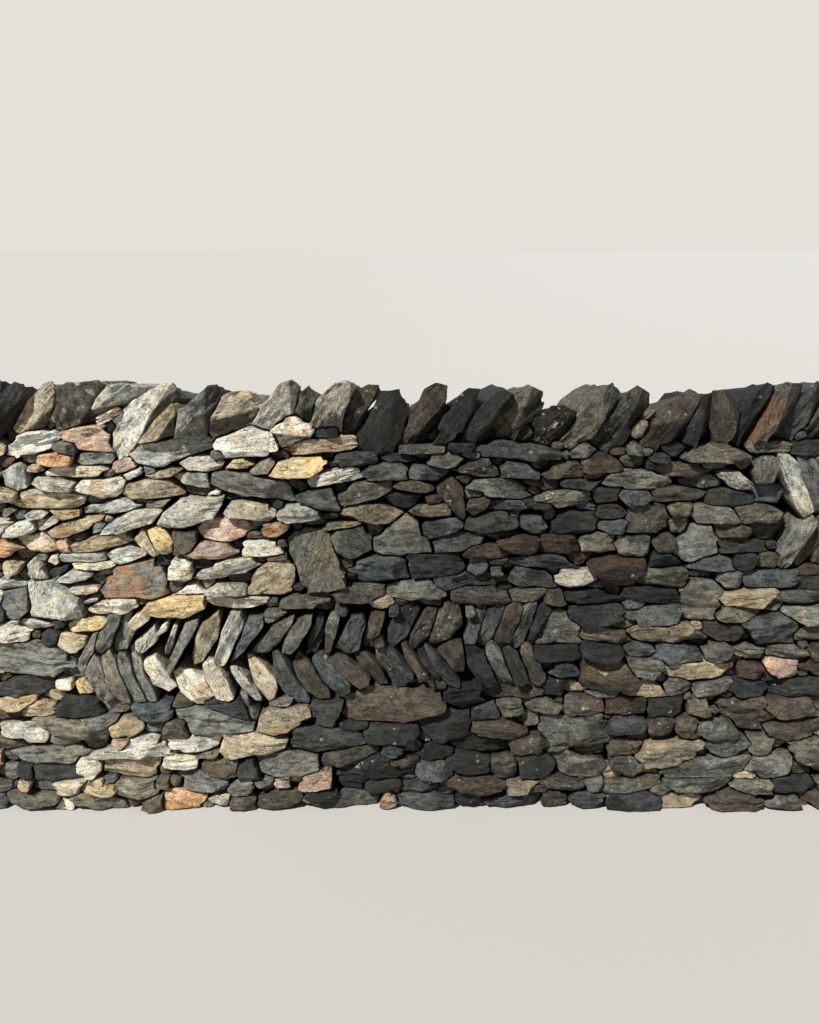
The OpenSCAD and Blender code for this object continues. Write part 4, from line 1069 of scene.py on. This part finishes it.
def stoneMaterial(rock, face, deep, stain, stained, crusted, spotted):
    # Split rock, as the eye sees it: mottled about every 20 mm between the weathered face and the
    # rock under it, cracked here and there along the bedding, stained in broad patches, grown
    # over by crusts and spots of pale lichen, and dark inside its joints with soil and painted shade;
    # painted shade also darkens a cope stone's sheltered underside and lowers the tone along part of the wall.
    material = bpy.data.materials.new(rock.replace(" ", "_"))
    material.use_nodes = True
    tree = material.node_tree
    surface = tree.nodes["Principled BSDF"]

    def add(*given, **settings):
        return addNode(tree, *given, **settings)

    def weighed(start, *layers):
        # start plus each layer times its weight
        for layer, weight in layers:
            start = add("Math", (layer, weight, start), operation="MULTIPLY_ADD")
        return start

    grain = add("Attribute", (), "Vector", attribute_name="bedding")
    marks = add("Attribute", (), "Vector", attribute_name="marksAndShade")
    tone, facet, edge = add("SeparateXYZ", (marks,)).node.outputs
    noise = {}
    for name, (scale, detail, rough, by) in rockNoises.items():
        place = add("VectorMath", (grain, by), operation="MULTIPLY")
        noise[name] = add("TexNoise", (place, scale, detail, rough), "Fac",
                          ("Vector", "Scale", "Detail", "Roughness"))
    mottle, fine, broad = noise["mottle"], noise["fine"], noise["broad"]
    # how far each layer covers what is under it: a noise between two of its levels, up to the third value
    weathered = add("MapRange", (weighed(0.0, (mottle, 0.7), (noise["layers"], 0.3)), 0.39, 0.55))
    begin = 0.86 - 0.36 * stained
    stains = add("MapRange", (weighed(broad, (facet, 0.3)), begin, begin + 0.1, 0, 0.75))
    # cracks: thin lines where cells of 45 by 20 mm meet, broken off by the growth's noise
    cellPlace = add("VectorMath", (grain, (0.45, 0.45, 1)), operation="MULTIPLY")
    cells = add("TexVoronoi", (cellPlace, 50.0, 1.0), sockets=("Vector", "Scale", "Randomness"),
                feature="DISTANCE_TO_EDGE")
    lines = add("Math", (add("MapRange", (cells, 0.035, 0.0)),
                         add("MapRange", (noise["growth"], 0.52, 0.58))), operation="MULTIPLY")
    # long splits, 2 mm wide: the middle level of the strata
    offLevel = add("Math", (add("Math", (noise["strata"], 0.5), operation="SUBTRACT"),), operation="ABSOLUTE")
    splits = add("Math", (add("MapRange", (offLevel, 0.012, 0.003)),
                          add("MapRange", (broad, 0.47, 0.52))), operation="MULTIPLY")
    seam = add("Math", (lines, splits), operation="MAXIMUM")
    pits = add("Math", (add("MapRange", (fine, 0.43, 0.35, 0, 0.55)),
                        add("MapRange", (noise["speckle"], 0.41, 0.36, 0, 0.55))), operation="MAXIMUM")
    begin = 0.725 - 0.15 * crusted - 0.12 * crusted ** 2
    crust = add("MapRange", (weighed(noise["growth"], (facet, 0.06)), begin, begin + 0.05, 0, 0.8))
    crustColour = add("Mix", (add("MapRange", (fine, 0.35, 0.62)), linear(rockColours["oldCrust"]),
                              linear(rockColours["crust"])), **paint)
    # spots: one in nine of the cells of 26 mm has one, with a ragged edge
    dots = add("TexVoronoi", (grain, 38.0), sockets=("Vector", "Scale"), feature="F1").node.outputs
    size = 0.14 + 0.22 * spotted
    spot = add("MapRange", (weighed(dots["Distance"], (mottle, 0.5)), size + 0.25, size + 0.19))
    chosen = add("MapRange", (add("SeparateXYZ", (dots["Color"],)), 0.88, 0.90, 0, 0.5))
    spots = add("Math", (spot, chosen), operation="MULTIPLY")
    # darkening in joints and on sheltered undersides: soil and painted shade
    soilAndShade = weighed(0.0, (add("Math", (edge, 2.0), operation="POWER"), 0.75))

    colour = add("Mix", (weathered, linear(deep), linear(face)), **paint)
    colour = add("Mix", (stains, colour, linear(stain)), **paint)
    colour = add("Mix", (weighed(0.0, (seam, 0.8)), colour, linear(rockColours["crack"])), **paint)
    # value of the colour: grain, streaks, each facet's own tone, and the stone's tone, which carries painted
    # shade along the wall
    shade = weighed(-0.6, (tone, 0.35), (fine, 1.5), (noise["streaks"], 1.2), (facet, 0.55))
    colour = add("HueSaturation", (shade, colour), sockets=("Value", "Color"))
    tint = add("Mix", (add("MapRange", (noise["warmth"], 0.4, 0.6)), (0.95, 1.0, 1.03, 1),
                       (1.07, 1.0, 0.9, 1)), **paint)
    colour = add("Mix", (1.0, colour, tint), blend_type="MULTIPLY", **paint)
    for cover, laid in ((pits, linear(rockColours["pit"])), (crust, crustColour),
                        (spots, linear(rockColours["spot"])), (soilAndShade, linear(rockColours["soilAndShade"]))):
        colour = add("Mix", (cover, colour, laid), **paint)
    tree.links.new(colour, surface.inputs["Base Color"])
    for socket, value in rockFinish.items():
        surface.inputs[socket].default_value = value
    rise = weighed(mottle, (fine, 0.3), (noise["speckle"], 0.5), (seam, -0.35), (noise["layers"], 0.4),
                   (noise["streaks"], 0.4))
    bump = add("Bump", (rise, 1.0, 0.014), sockets=("Height", "Strength", "Distance"))
    tree.links.new(bump, surface.inputs["Normal"])
    return material


materials = [stoneMaterial(*stoneKinds[kind]) for kind in kinds]
print("materials made:", len(materials))

# meshes
sharpAngle = 27  # degrees between faces, past which an edge shows as a crease
# a stone whose half width and half height come to less than the first has a grid of the second
gridBySize = ((0.03, 8), (0.045, 10), (0.085, 14), (0.13, 20), (9, 26))


def buildPiece(node, blocks):
    # joins blocks of stones into one mesh; a block is points, grain, marks, quads, triangles, kinds
    points, grain, marks, starts, corners, slots = [], [], [], [], [], []
    base = 0
    for p, g, m, quads, triangles, stoneKind in blocks:
        each = p.shape[1]
        shift = base + each * np.arange(len(p))
        for faces in (quads, triangles):
            corners.append((faces[None] + shift[:, None, None]).ravel())
            starts.append(np.full(len(faces) * len(p), faces.shape[1]))
            slots.append(np.repeat(stoneKind, len(faces)))
        for whole, own in ((points, p), (grain, g), (marks, m)):
            whole.append(own.reshape(-1, 3))
        base += each * len(p)
    points, grain, marks = (np.concatenate(a).astype(np.float32) for a in (points, grain, marks))
    corners, sizes, slots = (np.concatenate(a).astype(np.int32) for a in (corners, starts, slots))
    name = {"footing_course": "footing-stones", "hearting": "hearting-rubble"}.get(
        node, node.replace("_", "-") + "-stones")
    mesh = bpy.data.meshes.new(name)
    mesh.vertices.add(len(points))
    mesh.vertices.foreach_set("co", points.ravel())
    mesh.loops.add(len(corners))
    mesh.loops.foreach_set("vertex_index", corners)
    mesh.polygons.add(len(sizes))
    mesh.polygons.foreach_set("loop_start", np.concatenate([[0], np.cumsum(sizes)[:-1]]).astype(np.int32))
    used = np.unique(slots)
    for k in used:
        mesh.materials.append(materials[int(k)])
    mesh.polygons.foreach_set("material_index", np.searchsorted(used, slots).astype(np.int32))
    mesh.polygons.foreach_set("use_smooth", np.ones(len(sizes), bool))
    for label, values in (("bedding", grain), ("marksAndShade", marks)):
        mesh.attributes.new(label, "FLOAT_VECTOR", "POINT").data.foreach_set("vector", values.ravel())
    mesh.update()
    mesh.validate()
    mesh.set_sharp_from_angle(angle=math.radians(sharpAngle))
    piece = bpy.data.objects.new(name, mesh)
    bpy.context.scene.collection.objects.link(piece)
    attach(piece, "root")
    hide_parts(node)
    return int((sizes - 2).sum())


def blocksFor(stones, outline, look, face, quarterTurns, rng):
    # Shares stones out by size, so that small ones get a coarser grid, and those at the wall's ends
    # get the rings of a quoin.
    size = np.maximum(stones[:, 2], stones[:, 3]) + np.minimum(stones[:, 2], stones[:, 3])
    blocks, low = [], 0
    for high, fine in gridBySize:
        pick = (size >= low) & (size < high)
        low = high
        n = 2 * round(fine * look["fineness"] / 2)
        atEnd = np.abs(stones[:, 0]) + stones[:, 2] > halfLength - 12 * mm
        for group, way in ((pick & ~atEnd, look), (pick & atEnd, dict(look, **look["quoin"]))):
            if group.any():
                p, *others = stoneBlock(stones[group], outline[group], n, way, face, rng)
                blocks.append((aboutUp(p, quarterTurns), *others, stones[group, 6].astype(int)))
    return blocks


# what the rule lays, in mm
laying = dict(
    ends=(-halfLength / mm + 2, halfLength / mm - 2),
    front=(70, 185),    # shortest and longest stone
    back=(110, 260),
    footing=(150, 300),
    beds=(58, 52, 74, 66, 60, 70, 56, 64, 52, 58, 62, 50, 56, 48, 54, 46, 50, 44, 48, 42, 46),  # scaled to fill
    panels=[(-1060, 340, -300, 622), (-300, 392, 225, 628), (850, 735, 1455, 1045)],  # kept for the slabs
    copeFoot=(6, 74),   # small stones between the feet of the cope: from and to, above its bed
    copeFill=dict(least=9, most=70, lean=48),
    copeFillSwell=1.35,
)
left, right = laying["ends"]
faceTop = copeBed / mm
span = ((mm - halfLength, 2 * mm), (halfLength - mm, cadBox[1][2] - 3 * mm))

# front: lay and fit
rng = np.random.default_rng(7)
stones = handStones()
sides = hewSides(stones, rng)
shaped, shapedSides = shapedStones()
stones, sides = np.concatenate([shaped, stones]), np.concatenate([shapedSides, sides])
stones[:, 2:4] /= 2
scale = faceTop / sum(laying["beds"])
low = 0
for height in laying["beds"]:
    high = low + height * scale
    fresh = ruleRow(stones, sides, (laying["ends"], low, high), laying["front"], rng, frontMix,
                    courseOf((low + high) / 2 * mm), laying["panels"])
    stones, sides = withMore(stones, sides, fresh, rng)
    low = high
laid = len(stones)
pins = pinGaps(stones, sides, ((left, 2), (right, faceTop - 8)), laying["panels"], rng,
               lambda x, z: courseOf(z * mm))
stones, sides = withMore(stones, sides, pins, rng, 0.3)
copeFoot = [faceTop + above for above in laying["copeFoot"]]
fillers = pinGaps(stones, sides, ((left, copeFoot[0]), (right, copeFoot[1])), [], rng,
                  lambda x, z: copeSide(x), **laying["copeFill"])
fillers[:, 2:4] *= laying["copeFillSwell"]
stones, sides = withMore(stones, sides, fillers, rng, 0.1)
layer = np.repeat([0, 1, 2], [laid, len(pins), len(fillers)])
print("front stones:", len(stones), "of which pins:", len(pins), "and fillers:", len(fillers))
stones[:, :4] *= mm
outline = fitStones(stones, sides, span, rng)

# material slot, look and face by a word in the node's name, the face's own last
frontWays = (("cope", "cope_slate", copeLook, copeFace), ("panel", "herringbone_slate", slabLook, frontFace),
             ("jumper", "jumper_stone", faceLook, frontFace), ("footing", "footing_stone", faceLook, frontFace),
             ("front", "face_slate", faceLook, frontFace))
total = 0
for name in nodeNames[:nodeNumber["cope_end_stone"] + 1]:
    _, slot, look, face = next(way for way in frontWays if way[0] in name)
    blocks = []
    for group, way in enumerate((look, pinLook, fillerLook)):
        pick = (stones[:, 7] == nodeNumber[name]) & (layer == group)
        blocks += blocksFor(stones[pick], outline[pick], way, face, 0, rng)
    if name == "footing_course":
        footingBlocks = blocks  # its piece is made with the back
    else:
        total += buildPiece(name, blocks)
print("front built, triangles so far:", total)

# back: larger and plainer
noStones = np.zeros((0, 8)), np.zeros((0, sideCount, 2))
back, backSides = noStones
bedList = []
for k, name in enumerate(backCourses):
    z0, z1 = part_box(name)[0][2] / mm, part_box(name)[1][2] / mm
    beds = 2 if k % 3 != 1 else 1
    for bed in range(beds):
        bedList.append((z0 + (z1 - z0) * bed / beds, z0 + (z1 - z0) * (bed + 1) / beds, laying["back"], name))
bedList.append((0, footingTop / mm, laying["footing"], "footing_course"))
for low, high, lengths, name in bedList:
    fresh = ruleRow(back, backSides, (laying["ends"], low, high), lengths, rng, backMix, nodeNumber[name])
    back, backSides = withMore(back, backSides, fresh, rng)


def backNode(x, z):
    # node of the back that a height in mm lies in
    return nodeNumber[[name for name in ["footing_course"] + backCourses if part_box(name)[0][2] <= z * mm][-1]]


pins = pinGaps(back, backSides, ((left, 2), (right, faceTop - 8)), [], rng, backNode)
back, backSides = withMore(back, backSides, pins, rng, 0.1)
print("back stones:", len(back), "of which pins:", len(pins))
back[:, :4] *= mm
backOutline = fitStones(back, backSides, (span[0], (span[1][0], copeBed)), rng)
for name in ["footing_course"] + backCourses:
    pick = back[:, 7] == nodeNumber[name]
    blocks = blocksFor(back[pick], backOutline[pick], backLook, backFace, 2, rng)
    if name == "footing_course":
        total += buildPiece(name, footingBlocks + blocks)
    else:
        total += buildPiece(name, blocks)
print("back built, triangles so far:", total)

# hearting
core = dict(
    packing=(38, 110),     # size of the rubble, mm
    flat=0.5,              # height of its beds over such a size
    endInset=0.055,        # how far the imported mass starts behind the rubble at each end
    overlap=6 * mm,        # how far it reaches in between the stones of both faces
    foot=0.02,
    bed=22 * mm,           # how far it rises between the feet of the cope
    lump=9 * mm,
    around=64,
    along=160,
)


def heartingPiece():
    # packed rubble that shows at both ends of the wall, laid like the face but small
    low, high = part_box("hearting")
    top, overlap = high[2] / mm, core["overlap"] / mm
    blocks = []
    for turns in (3, 1):
        rubble, rubbleSides = noStones
        y0, y1 = low[1] / mm - overlap, high[1] / mm + overlap
        y0, y1 = (-y1, -y0) if turns == 3 else (y0, y1)
        z = 4.0
        while z < top - 10:
            h = min(rng.uniform(*core["packing"]) * core["flat"], top - z)
            fresh = ruleRow(rubble, rubbleSides, ((y0, y1), z, z + h), core["packing"], rng, backMix,
                            nodeNumber["hearting"])
            rubble, rubbleSides = withMore(rubble, rubbleSides, fresh, rng)
            z += h
        rubble[:, :4] *= mm
        fitted = fitStones(rubble, rubbleSides, ((y0 * mm, 4 * mm), (y1 * mm, high[2] - 2 * mm)), rng)
        blocks += blocksFor(rubble, fitted, endLook, endFace, turns, rng)
    return blocks


def packedMass():
    # The mass of rubble between the faces: a rectangle with rounded corners carried from end to
    # end, with lumps of noise in and out, and closed by a fan at each end.
    low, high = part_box("hearting")
    around, along = core["around"], core["along"]
    angle = 2 * math.pi * np.arange(around) / around
    c, s = np.cos(angle), np.sin(angle)
    square = (np.abs(c) ** 8 + np.abs(s) ** 8) ** (-1 / 8)
    foot, head = core["foot"], copeBed + core["bed"]
    middleY, middleZ = (low[1] + high[1]) / 2, (head + foot) / 2
    halfY, halfZ = (high[1] - low[1]) / 2 + core["overlap"], (head - foot) / 2
    x = np.linspace(low[0] + core["endInset"], high[0] - core["endInset"], along)[:, None]
    y, z = middleY + halfY * c * square + 0 * x, middleZ + halfZ * s * square + 0 * x
    place = np.stack([x + 0 * y, y, z], -1)
    lumps = 1 + core["lump"] * valueNoise(place / 0.03, 11) / np.hypot(y - middleY, z - middleZ)
    y, z = middleY + (y - middleY) * lumps, middleZ + (z - middleZ) * lumps
    tips = np.array([[x[end, 0], middleY, middleZ] for end in (0, -1)])
    points = np.concatenate([np.stack([x + 0 * y, y, z], -1).reshape(-1, 3), tips])[None]
    index = np.arange(around * along).reshape(along, around)
    beside = np.roll(index, -1, 1)
    quads = np.stack([index[:-1], index[1:], beside[1:], beside[:-1]], -1).reshape(-1, 4)[:, ::-1]
    first = np.stack([index[0], beside[0], np.full(around, around * along)], -1)[:, ::-1]
    last = np.stack([beside[-1], index[-1], np.full(around, around * along + 1)], -1)[:, ::-1]
    marks = np.broadcast_to(np.array([0.3, 0.3, 1.0]), points.shape)  # tone, facet, and full darkening as soil and painted shade
    return points, points, marks, quads, np.concatenate([first, last]), np.array([kinds.index("dark")])


total += buildPiece("hearting", heartingPiece() + [packedMass()])
print("all stones built, triangles:", total)

# floor, light
studio = dict(
    floor="#9d9c99",
    floorRoughness=0.9,
    floorSize=60,                # metres from the middle to each side
    horizon="#e4e1da",           # as the lit floor looks, so that the two meet unseen
    sky=0.3,
    skyColour="#dfe3e8",
)
lamps = dict(
    sun=dict(strength=7.0, spread=2.5, place=(-0.55, -0.62, 1.1), colour=(1.0, 0.97, 0.92)),
    fill=dict(strength=1.4, spread=50, place=(0.5, 1.0, 0.45), colour=(0.93, 0.96, 1.0)),  # for the shaded back
)
floorMesh = bpy.data.meshes.new("floor")
reach = studio["floorSize"]
floorMesh.from_pydata([(-reach, -reach, 0), (reach, -reach, 0), (reach, reach, 0), (-reach, reach, 0)], [],
                      [(0, 1, 2, 3)])
floor = bpy.data.objects.new("floor", floorMesh)
bpy.context.scene.collection.objects.link(floor)
floorMaterial = bpy.data.materials.new("painted_studio_floor")
floorMaterial.use_nodes = True
painted = floorMaterial.node_tree.nodes["Principled BSDF"].inputs
painted["Base Color"].default_value = linear(studio["floor"])
painted["Roughness"].default_value = studio["floorRoughness"]
floorMesh.materials.append(floorMaterial)

for name, lamp in lamps.items():
    # spread is in degrees across, and the light comes from the place towards the origin
    lampData = bpy.data.lights.new(name, "SUN")
    lampData.energy, lampData.color = lamp["strength"], lamp["colour"]
    lampData.angle = math.radians(lamp["spread"])
    lampObject = bpy.data.objects.new(name, lampData)
    x, y, z = lamp["place"]
    lampObject.rotation_euler = (math.atan2(math.hypot(x, y), z), 0, math.atan2(y, x) + math.pi / 2)
    bpy.context.scene.collection.objects.link(lampObject)
world = bpy.data.worlds.new("studio")
world.use_nodes = True
sky = world.node_tree.nodes["Background"]
seen = addNode(world.node_tree, "LightPath", (), "Is Camera Ray")
tint = addNode(world.node_tree, "Mix", (seen, linear(studio["skyColour"]), linear(studio["horizon"])), **paint)
world.node_tree.links.new(tint, sky.inputs["Color"])
strength = addNode(world.node_tree, "MapRange", (seen, 0, 1, studio["sky"], 1.0))
world.node_tree.links.new(strength, sky.inputs["Strength"])
bpy.context.scene.world = world
bpy.context.scene.view_settings.view_transform = "Standard"
print("floor and light set")
